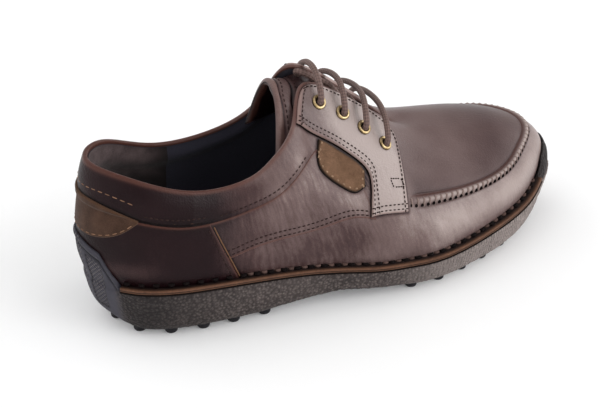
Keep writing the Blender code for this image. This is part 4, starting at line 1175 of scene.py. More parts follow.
# Tone of the tongue: a paler binding, partly a painted highlight on its bead, and painted shade in its
# grooves
TONGUE_WRINKLE, TONGUE_TONE, BINDING_TONE_AND_HIGHLIGHT, TONGUE_GROOVE_SHADE = 0.3, 0.60, 0.18, -0.5
PANEL_TONE, PANEL_TONE_SPAN, BINDING_FULL, BINDING_PALE = -0.2, 4.0, 0.6, 0.6
TONGUE_COLUMN_WIDTH = 1.2
TONGUE_THREAD, TONGUE_STITCH_ROWS, TONGUE_STITCH_TRIM = (3.0, 2.1), (6.6, 16.0), 4.0


def tongue_arch(crown_x, crown_z, half_width, foot_z):
    """The free rear edge, an arch whose feet pull back and lean to the lateral side."""
    side = np.linspace(-1.0, 1.0, 2 * TONGUE_FLANK_POINTS + 1)
    fall = np.abs(side) ** TONGUE_ROUNDNESS
    pull = np.where(side > 0.0, TONGUE_MEDIAL_PULL, TONGUE_LATERAL_PULL)
    x = crown_x - pull * fall
    y = TONGUE_MIDDLE - TONGUE_FOOT_SHIFT * fall + half_width * side
    return np.stack([x, y, crown_z + (foot_z - crown_z) * fall], -1)


def tongue_rows():
    rows = []
    for rib, low_share, crown_x, crown_z in TONGUE_ROWS:
        shares = np.linspace(low_share, TONGUE_FLANK_TOP, TONGUE_FLANK_POINTS)
        lateral = inner_surface(np.full(len(shares), rib), shares, TONGUE_GAP)
        medial = inner_surface(np.full(len(shares), RIBS - rib), shares, TONGUE_GAP)
        rows.append(np.concatenate([lateral, [[crown_x, TONGUE_MIDDLE, crown_z]], medial[::-1]]))
    rows.append(tongue_arch(*TONGUE_REAR))
    return np.array(rows)


def fine_sheet(rows, grid):
    """A sheet of points read smoothly, both ways, from a coarse one."""
    count, width = rows.shape[:2]
    along = open_curve(np.arange(count), rows.reshape(count, -1), np.linspace(0, count - 1, grid[0]))
    turned = along.reshape(grid[0], width, 3).transpose(1, 0, 2).reshape(width, -1)
    fine = open_curve(np.arange(width), turned, np.linspace(0, width - 1, grid[1]))
    return fine.reshape(grid[1], grid[0], 3).transpose(1, 0, 2)


def sheet_normals(points):
    return unit(np.cross(np.gradient(points, axis=0), np.gradient(points, axis=1)))


def cushion(distance, start, end, height):
    """A round ridge between two distances."""
    middle, half = (start + end) / 2.0, (end - start) / 2.0
    return height * np.sqrt(np.clip(1.0 - ((distance - middle) / half) ** 2, 0.0, 1.0))


def make_tongue(material):
    """The saddle tongue: bound rear edge, padded roll, groove and main panel."""
    base = fine_sheet(tongue_rows(), TONGUE_GRID)
    normals = sheet_normals(base)
    if normals[..., 2].mean() < 0.0:
        normals = -normals
    from_rear = travel(base[::-1])[::-1]
    past_roll = from_rear - ROLL_WIDTH
    half_thickness = TONGUE_THICKNESS / 2.0
    rounded = rounded_lift(base, half_thickness, TONGUE_EDGE_ROUND)
    bead = cushion(from_rear, 0.0, BINDING_WIDTH, BINDING_HEIGHT)
    roll = cushion(from_rear, BINDING_WIDTH, ROLL_WIDTH, ROLL_HEIGHT)
    panel = PANEL_HEIGHT * rises(past_roll, *PANEL_START)
    groove = hump(past_roll, 0.0, ROLL_GROOVE_WIDTH) + hump(from_rear, BINDING_WIDTH, BINDING_GROOVE_WIDTH)
    outer_lift = rounded - half_thickness + bead + roll + panel - TONGUE_GROOVE_DEPTH * groove
    inner_lift = -rounded - half_thickness - INNER_PADDING * (bead + roll)
    top = base + normals * outer_lift[..., None]
    bottom = base + normals * inner_lift[..., None]
    bound = smooth_step(bead / BINDING_FULL)
    # Painted highlight on the bound bead and painted shade in the grooves
    shade = TONGUE_TONE + BINDING_TONE_AND_HIGHLIGHT * bound + TONGUE_GROOVE_SHADE * np.clip(groove, 0.0, 1.0)
    shade += PANEL_TONE * rises(past_roll, 0.0, PANEL_TONE_SPAN)
    columns = np.broadcast_to(np.arange(TONGUE_GRID[1]) * TONGUE_COLUMN_WIDTH, base.shape[:2])
    values = {
        "edge": np.tile(BINDING_PALE * bound.ravel(), 2), "wrinkle": np.full(2 * shade.size, TONGUE_WRINKLE),
        "tone": np.concatenate([shade.ravel(), np.zeros(shade.size)]),
        "rib": np.tile(columns.ravel(), 2), "rise": np.tile(from_rear.ravel(), 2)}
    piece = add_piece("tongue_padded", (*pad(top, bottom), values), material, "leather", "tongue")
    return top, from_rear, normals


def tongue_stitches(sheet, distance, pitch, length):
    """A row of stitches across the tongue, at a distance from its rear edge."""
    top, from_rear, normals = sheet
    points, directions = [], []
    for column in range(top.shape[1]):
        order = np.argsort(from_rear[:, column])
        gaps = from_rear[order, column]
        points.append(read_line(distance, gaps, top[order, column]))
        directions.append(read_line(distance, gaps, normals[order, column]))
    points, directions = np.array(points), np.array(directions)
    travelled = travel(points)
    starts = np.arange(TONGUE_STITCH_TRIM, travelled[-1] - TONGUE_STITCH_TRIM - length, pitch)
    return (
        read_line(starts, travelled, points), read_line(starts + length, travelled, points),
        read_line(starts, travelled, directions))


# Sole


SOLE_STATIONS = 840
PART_STATIONS = 64
SIDE_COUNT, WRAP_COUNT = 44, 44


def wrap_share(rib):
    """How far the sole's rubber climbs a rib at the heel and at the toe."""
    from_heel = ribs_from_heel(rib)
    heel = read_table(HEEL_WRAP, from_heel)
    toe = read_table(TOE_WRAP, np.abs(rib - TOE_RIB))
    return np.where(from_heel < RIBS / 4, heel, toe)


def feather_ring(ribs, offset, heights):
    normal_x, normal_y = plan_normal(ribs)
    x = last_value("feather_x", ribs) + offset * normal_x
    y = last_value("feather_y", ribs) + offset * normal_y
    return np.stack([x, y, np.broadcast_to(heights, x.shape)], -1)


def heel_amount(ribs):
    start, end = HEEL_RAKE
    return falls(ribs_from_heel(ribs), end, end - start)


def side_ring(ribs, offset, heel_pull, height_share):
    ring = feather_ring(ribs, offset - heel_pull * heel_amount(ribs), 0.0)
    tread = tread_height(ring[:, 0])
    ring[:, 2] = tread + height_share * (feather_top(ribs) - SEAT_GAP - tread)
    return ring


def wrap_ring(ribs, step, ledge_offset, wrap_offset):
    """A ring that lies on the ledge along the sides and climbs the ribs at the heel and toe."""
    climb = wrap_share(ribs)
    climbing = smooth_step(climb / WRAP_FULL)
    offset = ledge_offset + climbing * (wrap_offset - ledge_offset)
    flat = feather_ring(ribs, ledge_offset, feather_top(ribs) - SEAT_GAP)
    risen = rib_point(ribs, step * climb) + last_normal(ribs, step * climb) * offset[:, None]
    risen[:, 2] -= SEAT_GAP
    return flat + climbing[:, None] * (risen - flat)


def sole_rings(ribs):
    """Rings of the sole from the tread up its side and over the wraps, then those that lie inside."""
    outside = [side_ring(ribs, *ring) for ring in SIDE_RINGS]
    for step in WRAP_STEPS:
        ledge = LEDGE_OUTER + step * (LEDGE_INNER - LEDGE_OUTER)
        toe = TOE_WRAP_FOOT + step * (TOE_WRAP_EDGE - TOE_WRAP_FOOT)
        heel = HEEL_WRAP_FOOT + step * (HEEL_WRAP_EDGE - HEEL_WRAP_FOOT)
        outside.append(wrap_ring(ribs, step, ledge, toe + heel_amount(ribs) * (heel - toe)))
    inside = [wrap_ring(ribs, step, WRAP_GAP + step * LEDGE_FOLD, WRAP_GAP) for step in reversed(WRAP_STEPS)]
    inside.append(feather_ring(ribs, FLOOR_RING, feather_top(ribs) - SEAT_GAP))
    return np.array(outside), np.array(inside)


def bridge_faces(first, count):
    """Faces that fill a ring of points straight across the shoe."""
    half = count // 2
    faces = [[first, first + 1, first + count - 1]]
    for place in range(1, half - 1):
        faces.append([first + place, first + place + 1, first + count - place - 1, first + count - place])
    faces.append([first + half - 1, first + half, first + half + 1])
    return faces


# Regions of the sole: place and span of a change, or middle and width of a ridge, in ribs or millimetres
SMOOTH_HEEL, SMOOTH_TOP_END, RING_FADE = (1.0, 0.25), (1.0, 1.0), 0.05
CLIP_END, CLIP_LIP, CLIP_CHANNEL = (0.90, 0.12), (1.8, 1.5), (5.0, 0.9)
WINDOW_START, WINDOW_END, WINDOW_FOOT, WINDOW_HEAD = (0.27, 0.05), (0.62, 0.05), (13.0, 2.0), (6.0, 2.0)
DOTTED_HEEL, DARK_TOE_WRAP, HEEL_SHADE_END, RIBBED_END = (0.22, 0.04), (1.0, 0.3), (3.1, 1.8), (5.0, 3.6)
# Heights in millimetres, then how dark or pale the regions are: painted shade at the heel, along the window's
# edge and in the channel, a darker toe wrap, a paler ribbed toe that is painted light, and darker studs
CREPE_HEIGHT, WINDOW_DEPTH, LIP_HEIGHT, CHANNEL_DEPTH = 0.28, 0.55, 0.8, 0.6
HEEL_SHADE, WINDOW_EDGE_SHADE, CHANNEL_SHADE, TOE_DARK, RIBBED_PALE, STUD_DARK = 0.7, 3.0, 0.9, 0.75, 0.8, 0.85
LUMP_SCALE, TINY = 0.55, 1e-9


def make_outsole(material):
    ribs = station_ribs(SOLE_STATIONS)
    outside, inside = sole_rings(ribs)
    mean_steps = np.linalg.norm(np.diff(outside, axis=0), axis=-1).mean(1)
    travelled = np.concatenate([[0.0], np.cumsum(mean_steps)])
    edge_travel = travelled[len(SIDE_RINGS)]
    side_part = np.linspace(0.0, edge_travel, SIDE_COUNT, endpoint=False)
    wanted = np.concatenate([side_part, np.linspace(edge_travel, travelled[-1], WRAP_COUNT)])
    fine = open_curve(travelled, outside.reshape(len(outside), -1), wanted).reshape(len(wanted), -1, 3)
    shape = fine.shape[:2]
    normals = np.cross(np.gradient(fine, axis=1), np.gradient(fine, axis=0))
    normals /= np.maximum(np.linalg.norm(normals, axis=-1, keepdims=True), TINY)
    from_heel = np.broadcast_to(ribs_from_heel(ribs), shape)
    from_toe = np.broadcast_to(np.abs(ribs - TOE_RIB), shape)
    height = np.broadcast_to((wanted / travelled[-1])[:, None], shape)
    below_edge = fine[-1, :, 2] - fine[..., 2]
    top_ring = edge_travel / travelled[-1]
    on_top = rises(height, top_ring, RING_FADE)
    smooth_top = on_top * rises(from_toe, *SMOOTH_TOP_END)
    crepe = (1.0 - falls(from_heel, *SMOOTH_HEEL)) * (1.0 - smooth_top)
    crepe = crepe * (1.0 - falls(height, RING_FADE, RING_FADE))
    lumps = [noise.noise(Vector(point) * LUMP_SCALE) for point in fine.reshape(-1, 3)]
    clip = falls(from_heel, *CLIP_END)
    window = rises(from_heel, *WINDOW_START) * falls(from_heel, *WINDOW_END)
    window = window * rises(fine[..., 2], *WINDOW_FOOT) * rises(below_edge, *WINDOW_HEAD)
    channel = clip * hump(below_edge, *CLIP_CHANNEL)
    lift = CREPE_HEIGHT * crepe * np.reshape(lumps, shape) - WINDOW_DEPTH * window
    lift += LIP_HEIGHT * clip * hump(below_edge, *CLIP_LIP) - CHANNEL_DEPTH * channel
    rings = np.concatenate([fine + normals * lift[..., None], inside])
    count = rings.shape[1]
    faces = grid_faces(len(rings), count, close_columns=True)[:, ::-1].tolist()
    faces += [face[::-1] for face in bridge_faces(0, count)]
    faces += bridge_faces((len(rings) - 1) * count, count)
    # Painted shade along the window's edge, in the channel and at the heel, and a darker toe wrap
    groove = WINDOW_EDGE_SHADE * window * (1.0 - window) + CHANNEL_SHADE * channel
    groove += TOE_DARK * falls(from_toe, *DARK_TOE_WRAP) * on_top
    groove += HEEL_SHADE * falls(from_heel, *HEEL_SHADE_END) * crepe
    regions = {
        "crepe": crepe, "dots": np.maximum(window, falls(from_heel, *DOTTED_HEEL)),
        # How far the ribbed toe is painted paler, as painted light, and where its ribs lie
        "ribbed": RIBBED_PALE * falls(from_toe, *RIBBED_END) * falls(height, top_ring, RING_FADE),
        "groove": np.minimum(1.0, groove)}
    hidden = np.zeros((len(inside), count))
    values = {name: np.concatenate([numbers, hidden]) for name, numbers in regions.items()}
    values |= {"along": np.broadcast_to(feather_travel(ribs), rings.shape[:2]), "rise": rings[..., 2]}
    add_piece("sole_crepe", (rings, faces, values), material, "rubber", "outsole")


STUD_PROFILE = ((0.55, 0.0), (0.86, 0.06), (0.97, 0.16), (1.0, 0.32), (1.0, 0.8), (1.02, 1.0))
STUD_SIDES, STUD_SAMPLES = 28, 1600


def stud_places():
    """Centres of the studs: a row along the sole's edge and one further in."""
    fine = np.linspace(0.0, RIBS, STUD_SAMPLES, endpoint=False)
    tread_offset, tread_pull, _ = SIDE_RINGS[0]
    places = []
    for inset, pitch, start in STUD_ROWS.values():
        ring = side_ring(fine, tread_offset - inset, tread_pull, 0.0)
        steps = np.linalg.norm(np.diff(ring, axis=0, append=ring[:1]), axis=1)
        count = int(steps.sum() / pitch)
        travelled = np.cumsum(steps) - steps[0]
        for target in start + np.arange(count) * steps.sum() / count:
            x, y, _ = ring[np.searchsorted(travelled, target)]
            clear = all(math.hypot(x - other[0], y - other[1]) > STUD_CLEARANCE for other in places)
            if clear and not ARCH_SPAN[0] < x < ARCH_SPAN[1]:
                places.append((x, y))
    return places


def make_studs(material):
    rows = len(STUD_PROFILE)
    points, faces = [], []
    for x, y in stud_places():
        low = float(tread_height(x)) - STUD_HEIGHT
        first = len(points) * STUD_SIDES
        faces += [face[::-1] for face in tube_faces(rows, STUD_SIDES, first)]
        for radius, height in STUD_PROFILE:
            level = low + (STUD_HEIGHT + STUD_ROOT) * height
            points.append(circle(STUD_SIDES, STUD_RADIUS * radius, level, x, y))
    points = np.concatenate(points)
    values = {name: np.zeros(len(points)) for name in ("along", "rise", "crepe", "dots", "ribbed")}
    values["groove"] = np.full(len(points), STUD_DARK)
    add_piece("sole_studs", (points, faces, values), material, "rubber", "outsole")


WELT_HEIGHT, WELT_OVERHANG, WELT_GAP, WELT_LEAN = 2.2, 0.5, 0.45, 1.2
WELT_STATIONS, WRAP_SAMPLES = 300, 2000
# The welt's painted shade: how far up its cut groove and its foot lie, and how far out its inner half ends
WELT_CUT, WELT_FOOT, WELT_INNER = (0.35, 0.5), 0.05, (0.85, 0.4)
WELT_OUTLINE = (
    (0.0, 0.0), (0.5, 0.0), (0.9, 0.0), (1.0, 0.12), (1.0, 0.3), (0.965, 0.36), (0.965, 0.48), (1.0, 0.54),
    (1.0, 0.78), (0.96, 0.93), (0.88, 1.0), (0.6, 1.0), (0.3, 0.94), (0.12, 0.9), (0.0, 0.9))


def make_welt(name, low_rib, high_rib, material):
    """The welt strip on the sole's ledge, with a cut groove along its edge."""
    ribs = np.linspace(low_rib, high_rib, WELT_STATIONS)
    outer = LEDGE_OUTER + WELT_OVERHANG
    rings = []
    for out, up in WELT_OUTLINE:
        inner = WELT_GAP + WELT_LEAN * up
        rings.append(feather_ring(ribs, inner + (outer - inner) * out, feather_top(ribs) + WELT_HEIGHT * up))
    points = np.stack(rings, 1)
    out, up = np.transpose(WELT_OUTLINE)
    # Painted shade in the cut groove, under the welt and on the inner half of its top
    cut = (up > WELT_CUT[0]) & (up < WELT_CUT[1]) | (up < WELT_FOOT)
    dark = np.where(cut, 1.0, falls(out, *WELT_INNER))
    values = {"edge": np.broadcast_to(dark, points.shape[:2])}
    shape = (points, tube_faces(*points.shape[:2]), values)
    add_piece(name + "_strip", shape, material, "welt_leather", name)


def wrap_free_span(first, last):
    """The ribs between the heel wrap and the toe wrap on one side."""
    fine = np.linspace(first, last, WRAP_SAMPLES)
    free = fine[wrap_share(fine) == 0.0]
    return free[0], free[-1]


WELT_STITCH_PITCH, WELT_STITCH_LENGTH, PUCKER_LENGTH = 7.8, 3.8, 3.6
WELT_STITCH_RADIUS, PUCKER_RADIUS, WELT_STITCH_LIFT, PUCKER_LIFT = 1.3, 0.95, 1.0, 0.5
WELT_STITCH_RISE, WELT_STITCH_END, WELT_STITCH_SAMPLES = 0.9, 0.02, 900
COUNTER_FOOT = 80.0
WELT_SHADOW_DROP, WELT_SHADOW_RADIUS = 0.35, 0.5


def welt_stitches(low_rib, high_rib, length, lift, offset):
    """Thick stitches in the corner between the welt and the upper, or the leather's puckers between them."""
    ribs = np.linspace(low_rib + WELT_STITCH_END, high_rib - WELT_STITCH_END, WELT_STITCH_SAMPLES)
    share = (WELT_HEIGHT + WELT_STITCH_RISE) / rib_length(ribs)
    return stitch_places(np.stack([ribs, share], -1), lift, WELT_STITCH_PITCH, length, (offset, 0.0))


# Eyelets and lace


EYELET_PROFILE = (
    (2.15, -3.4), (2.15, -0.4), (2.2, 0.2), (2.4, 0.62), (2.75, 0.88), (3.2, 0.95), (3.65, 0.84),
    (4.0, 0.55), (4.2, 0.15), (4.2, -0.3), (3.2, -0.35), (2.7, -0.5), (2.7, -3.4))
EYELET_SIDES = 40
# Radii where the tarnish in the hole ends and where that of the rim starts, and the spans of both
HOLE_TARNISH, RIM_TARNISH = (3.0, 0.8), (3.9, 0.3)


def eyelet_places():
    wanted = {("lateral", number): place for number, place in EYELET_LATERAL.items()}
    wanted |= {("medial", number): (RIBS - rib, share) for number, (rib, share) in EYELET_MEDIAL.items()}
    places = {}
    for name, (rib, share) in wanted.items():
        places[name] = (surface(rib, share), last_normal(np.array(rib), np.array(share)))
    return places


EYELET_PLACES = eyelet_places()


def make_eyelets(material):
    profile = np.array(EYELET_PROFILE)
    faces = grid_faces(len(profile), EYELET_SIDES, close_rows=True, close_columns=True)
    radius = profile[:, 0]
    tarnish = np.clip((HOLE_TARNISH[0] - radius) / HOLE_TARNISH[1], 0.0, 1.0)
    tarnish += np.clip((radius - RIM_TARNISH[0]) / RIM_TARNISH[1], 0.0, 1.0)
    values = {"edge": np.repeat(tarnish, EYELET_SIDES)}
    for (side, number), (centre, normal) in EYELET_PLACES.items():
        across = unit(np.cross(normal, (1.0, 0.0, 0.0)))
        ring = ring_round(across, np.cross(normal, across), EYELET_SIDES)
        points = centre + normal * (EYELET_LIFT + profile[:, None, 1:2]) + profile[:, None, 0:1] * ring
        name = f"eyelet_ring_{side}_{number}"
        add_piece(name, (points, faces, values), material, "brass", f"eyelet_{side}_{number}")


LACE_SIDES, LACE_STEP = 16, 0.45
BRAID_PITCH, BRAID_STRANDS, BRAID_HEIGHT = 3.2, 4, 0.07
LACE_HIDDEN_DEPTH, LACE_START = 4.4, 0.1
UNDER_CREST, UNDER_DEPTH, UNDER_RIM, UNDER_RIM_DEPTH = 3.0, 1.3, 0.995, 1.6


def bar_route(number):
    """One bar: out of the lateral eyelet, over the throat and into the medial one."""
    ends = []
    for side in ("lateral", "medial"):
        centre, normal = EYELET_PLACES[side, number]
        inward = math.copysign(math.cos(LACE_CLIMB_ANGLE), TONGUE_MIDDLE - centre[1])
        climb = np.array([0.0, inward, math.sin(LACE_CLIMB_ANGLE)])
        seat = centre + normal * EYELET_LIFT
        ends.append([
            seat - normal * LACE_HIDDEN_DEPTH, seat + normal * LACE_EXIT + climb * LACE_START,
            seat + normal * LACE_STAND_OFF + climb * LACE_CLIMB])
    crest_x, crest_z = LACE_CREST[number]
    return ends[0] + [np.array([crest_x, LACE_CREST_Y, crest_z])] + ends[1][::-1]


def under_route(number):
    """The run under the facings from one bar's medial eyelet to the next bar's lateral eyelet."""
    points = []
    stops = (("medial", number, EYELET_MEDIAL), ("lateral", number + 1, EYELET_LATERAL))
    for side, place, table in stops:
        rib, share = table[place]
        if side == "medial":
            rib = RIBS - rib
        middle_share = (share + 1.0) / 2.0
        deep = inner_surface(rib, middle_share, UNDER_DEPTH)
        at_rim = inner_surface(rib, UNDER_RIM, UNDER_RIM_DEPTH)
        points += [deep, at_rim] if side == "medial" else [at_rim, deep]
    crown = (points[1] + points[2]) / 2.0
    crown[2] += UNDER_CREST
    return points[:2] + [crown] + points[2:]


def make_lace(material):
    """One round cord: over the throat in bars and back under the facings in slanting runs."""
    route = []
    for number in LACE_CREST:
        route += bar_route(number)
        if number + 1 in LACE_CREST:
            route += under_route(number)
    route = np.array(route)
    travelled = travel(route)
    wanted = np.arange(0.0, travelled[-1], LACE_STEP)
    line = open_curve(travelled, route, wanted)
    angles = ring_angles(LACE_SIDES)
    turn = 2.0 * math.pi * wanted[:, None] / BRAID_PITCH
    braid = np.sin(turn + BRAID_STRANDS * angles) * np.sin(turn - BRAID_STRANDS * angles)
    points = tube_points(line, LACE_RADIUS - BRAID_HEIGHT + BRAID_HEIGHT * braid, LACE_SIDES)
    shape = (points, tube_faces(len(line), LACE_SIDES), {"braid": 0.5 + 0.5 * braid})
    bars = [f"lace_bar_{number}" for number in LACE_CREST]
    add_piece("lace_cord", shape, material, "lace", *bars)


# Panels and seams


COUNTER_GRID, QUARTER_GRID, PANEL_CROWD, HEEL_CROWD = (150, 70), (150, 60), 0.6, 0.4
COUNTER_TOP, PANEL_TOP_GAP = 0.66, 0.6
COUNTER_LINE_SPAN, COUNTER_LINE_SAMPLES, COUNTER_RIB_SPACING = (0.05, 0.60), 120, 28.0
SEAM_SAMPLES = 500


def counter_front(shares):
    """Ribs of the counter's front edge at the given shares."""
    ribs, heights = np.transpose(COUNTER_SEAM[::-1])
    return open_curve(heights, ribs, shares)


def below_band(ribs):
    """Share where a panel ends, just below the collar band."""
    return last_value("seam", ribs) - PANEL_TOP_GAP / rib_length(ribs)


def counter_grid():
    count_around, count_up = COUNTER_GRID
    shares = edge_spread(count_up, PANEL_CROWD)
    around = edge_spread(count_around, HEEL_CROWD) * 2.0 - 1.0
    ribs = around[:, None] * counter_front(shares * COUNTER_TOP)[None, :]
    return ribs, np.broadcast_to(shares, ribs.shape) * below_band(ribs)


def quarter_grid(medial):
    count_along, count_up = QUARTER_GRID
    ribs, low = np.transpose(smooth_line(QUARTER_SEAM, count_along))
    ribs = RIBS - ribs if medial else ribs
    shares = low[:, None] + (below_band(ribs) - low)[:, None] * edge_spread(count_up, PANEL_CROWD)
    return np.broadcast_to(ribs[:, None], QUARTER_GRID), shares


def counter_line(distance, medial):
    """A line beside the counter's front edge, on its heel side."""
    shares = np.linspace(*COUNTER_LINE_SPAN, COUNTER_LINE_SAMPLES)
    ribs = counter_front(shares) - distance / COUNTER_RIB_SPACING
    return np.stack([RIBS - ribs if medial else ribs, shares], -1)


def seam_line(low_rib, high_rib, distance):
    ribs = np.linspace(low_rib, high_rib, SEAM_SAMPLES)
    return np.stack([ribs, last_value("seam", ribs) + distance / rib_length(ribs)], -1)


APRON_PITCH, APRON_RADIUS = 3.8, 0.6
APRON_TOE_SINK, APRON_SINK_SPAN = 0.45, (9.0, 1.4)
APRON_HOLE_LENGTH, APRON_HOLE_OFFSET, APRON_HOLE_LIFT, APRON_HOLE_RADIUS = 2.0, -2.7, -0.2, 1.0
APRON_SPAN = (7.33, 14.67)
APRON_ACROSS = np.array([-3.6, -2.8, -1.9, -1.0, 0.0, 0.9, 1.6])
APRON_LIFT = np.array([-0.6, 0.0, 0.15, 0.15, 0.1, -0.05, -0.6])
APRON_SLANT = 0.012


def apron_sink(ribs):
    """How far the apron's stitches lie in the leather: hardly at the sides, more round the toe."""
    return APRON_TOE_SINK * rises(ribs_from_heel(ribs), *APRON_SINK_SPAN)


def apron_whips():
    """Slanted whip stitches over the apron ridge."""
    line = seam_line(*APRON_SPAN, 0.0)
    travelled = travel(surface(line[:, 0], line[:, 1]))
    wanted = np.arange(APRON_PITCH / 2.0, travelled[-1], APRON_PITCH)
    routes = []
    for rib in np.interp(wanted, travelled, line[:, 0]):
        ribs = rib + APRON_ACROSS * APRON_SLANT
        shares = last_value("seam", ribs) + APRON_ACROSS / rib_length(ribs)
        routes.append(surface(ribs, shares, APRON_LIFT - apron_sink(ribs)))
    return routes


def apron_holes():
    """The row of needle holes below the apron ridge: sunken near-black stitches that paint the shade in them.
    """
    line = seam_line(*APRON_SPAN, APRON_HOLE_OFFSET)
    trim = (-APRON_HOLE_LENGTH / 2.0, 0.0)
    lift = APRON_HOLE_LIFT - apron_sink(line[:, 0])
    return stitch_places(line, lift, APRON_PITCH, APRON_HOLE_LENGTH, trim)


def edge_cord(line, lift, radius, name, material, slot):
    points = surface(line[:, 0], line[:, 1], lift)
    add_piece(name, tube_shape([points], radius), material, slot)


COUNTER_ROUND, QUARTER_ROUND, EYESTAY_ROUND, PATCH_ROUND, EYESTAY_BEAD = 0.9, 0.7, 1.3, 1.0, 0.18
RAW_EDGE_OFFSET, RAW_EDGE_LIFT, RAW_EDGE_RADIUS = -0.4, 0.45, 0.35


def make_panels(grids, leather, counter_leather, raw_edge):
    """The counter and the two quarters, with the counter's pale cut edge."""
    make_overlay("counter_panel", grids["counter"], COUNTER_LIFT, COUNTER_ROUND, counter_leather, "leather")
    for side in ("lateral", "medial"):
        lines = [border_points(grids[name]) for name in ("counter", f"eyestay_{side}")]
        if side == "lateral":
            lines.append(border_points(grids["patch"]))
        name = f"quarter_panel_{side}"
        grid = grids[f"quarter_{side}"]
        make_overlay(name, grid, QUARTER_LIFT, QUARTER_ROUND, leather, "leather", lines=lines)
        edge_line = counter_line(RAW_EDGE_OFFSET, side == "medial")
        edge_name = f"counter_edge_{side}"
        edge_cord(edge_line, RAW_EDGE_LIFT, RAW_EDGE_RADIUS, edge_name, raw_edge, "welt_leather")


# Pitch and length of the stitches by where they run, and the rows' distances from the edges
QUARTER_THREAD, EYESTAY_THREAD, COUNTER_THREAD, TACK_THREAD = (2.7, 1.9), (2.5, 1.7), (2.9, 2.0), (1.5, 1.3)
BAND_THREAD, SEAM_THREAD, ARC_THREAD, HEEL_PATCH_THREAD = (2.8, 2.0), (9.0, 7.5), (4.2, 3.0), (4.4, 3.0)
TWIN_ROWS, EYESTAY_ROWS, COUNTER_ROW, HEEL_PATCH_ROW = (1.9, 4.6), {"throat": 2.2, "head": 2.4}, 2.4, 1.6
# Rows along the collar band: ribs from the heel, then the distance above the seam
BAND_ROWS = ((2.45, 5.0, 2.2), (1.3, 2.25, 3.4))
SEAM_ROW, SEAM_ROW_LIFT = (1.4, 2.15, 1.2), -0.27
TACK_SAMPLES, TACK_DROP, ARC_SAMPLES = 12, 0.07, 300
PATCH_THREAD, PATCH_ROW, PATCH_STITCH_RADIUS = (4.0, 1.4), 1.9, 0.5
DARK_STITCH_RADIUS, TAN_STITCH_RADIUS = 0.38, 0.26
# Near-black cords along the eyestays' and the patch's edges paint the shadow in the gaps there: radii, then
# lift off the leather
GAP_SHADOW_RADII, GAP_SHADOW_LIFT = {"eyestay_lateral": 0.55, "eyestay_medial": 0.55, "patch": 0.6}, 0.25


def band_line(low_rib, high_rib, distance, medial):
    """A line above the collar seam, on the lateral side or mirrored to the medial one."""
    low, high = (RIBS - high_rib, RIBS - low_rib) if medial else (low_rib, high_rib)
    return seam_line(low, high, distance)


def tack_lines(medial):
    """The four sides of the small box of stitches."""
    lines = []
    for start, end in zip(BAR_TACK, BAR_TACK[1:] + BAR_TACK[:1]):
        ribs, shares = np.linspace(start, end, TACK_SAMPLES).T
        lines.append(np.stack([RIBS - ribs, shares - TACK_DROP] if medial else [ribs, shares], -1))
    return lines


def panel_stitches(grids):
    """Rows of dark thread and rows of tan thread, by where they run."""
    dark, tan = [], []
    for side in ("lateral", "medial"):
        medial = side == "medial"
        quarter, eyestay = grids[f"quarter_{side}"], grids[f"eyestay_{side}"]
        for distance in TWIN_ROWS:
            dark.append(stitch_places(inset_line(quarter, "edge", distance), QUARTER_LIFT, *QUARTER_THREAD))
            for border in ("edge", "foot"):
                line = inset_line(eyestay, border, distance)
                dark.append(stitch_places(line, EYESTAY_TOP, *EYESTAY_THREAD))
        for border, distance in EYESTAY_ROWS.items():
            line = inset_line(eyestay, border, distance)
            dark.append(stitch_places(line, EYESTAY_TOP, *EYESTAY_THREAD))
        dark.append(stitch_places(counter_line(COUNTER_ROW, medial), COUNTER_LIFT, *COUNTER_THREAD))
        dark += [stitch_places(line, EYESTAY_TOP, *TACK_THREAD) for line in tack_lines(medial)]
        dark += [stitch_places(band_line(*row, medial), 0.0, *BAND_THREAD) for row in BAND_ROWS]
        tan.append(stitch_places(band_line(*SEAM_ROW, medial), SEAM_ROW_LIFT, *SEAM_THREAD))
    tan.append(stitch_places(smooth_line(HEEL_ARC, ARC_SAMPLES), 0.0, *ARC_THREAD))
    patch_line = inset_line(grids["heel_patch"], "edge", HEEL_PATCH_ROW)
    tan.append(stitch_places(patch_line, PATCH_TOP, *HEEL_PATCH_THREAD))
    return dark, tan


def heel_patch_rows():
    lateral = [(rib, low, rib, top) for rib, low, top in HEEL_PATCH]
    medial = [(-rib, low, -rib, top) for rib, low, top in HEEL_PATCH][:0:-1]
    return medial + lateral


# Camera, floor and light


CAMERA_AZIMUTH, CAMERA_ELEVATION = math.radians(-30.67), math.radians(29.02)
CAMERA_TARGET, CAMERA_DISTANCE, CAMERA_PAN = (150.0, 0.0, 45.0), 696.5, (57.05, 24.68)
CAMERA_AIM = (138.0, 0.0, 38.0)
CAMERA_LENS, CAMERA_SENSOR = 72.0, 36.0
FLOOR_FLAT, FLOOR_RISE, FLOOR_SIDES, FLOOR_STEPS = 3.0, 1.3, 96, 12


def make_camera():
    """A camera where the photo's stood, aimed at the one shoe."""
    flat = math.cos(CAMERA_ELEVATION)
    right = Vector((math.cos(CAMERA_AZIMUTH), math.sin(CAMERA_AZIMUTH), 0.0))
    back = Vector((right.y * flat, -right.x * flat, math.sin(CAMERA_ELEVATION)))
    up = back.cross(right)
    place = Vector(CAMERA_TARGET) + back * CAMERA_DISTANCE + right * CAMERA_PAN[0] + up * CAMERA_PAN[1]
    data = bpy.data.cameras.new("photo_camera")
    data.lens = CAMERA_LENS
    data.sensor_width = CAMERA_SENSOR
    camera = bpy.data.objects.new("photo_camera", data)
    camera.location = (place - Vector(ORIGIN)) * MM
    camera.rotation_euler = (place - Vector(CAMERA_AIM)).to_track_quat("Z", "Y").to_euler()
    bpy.context.scene.collection.objects.link(camera)
    bpy.context.scene.camera = camera


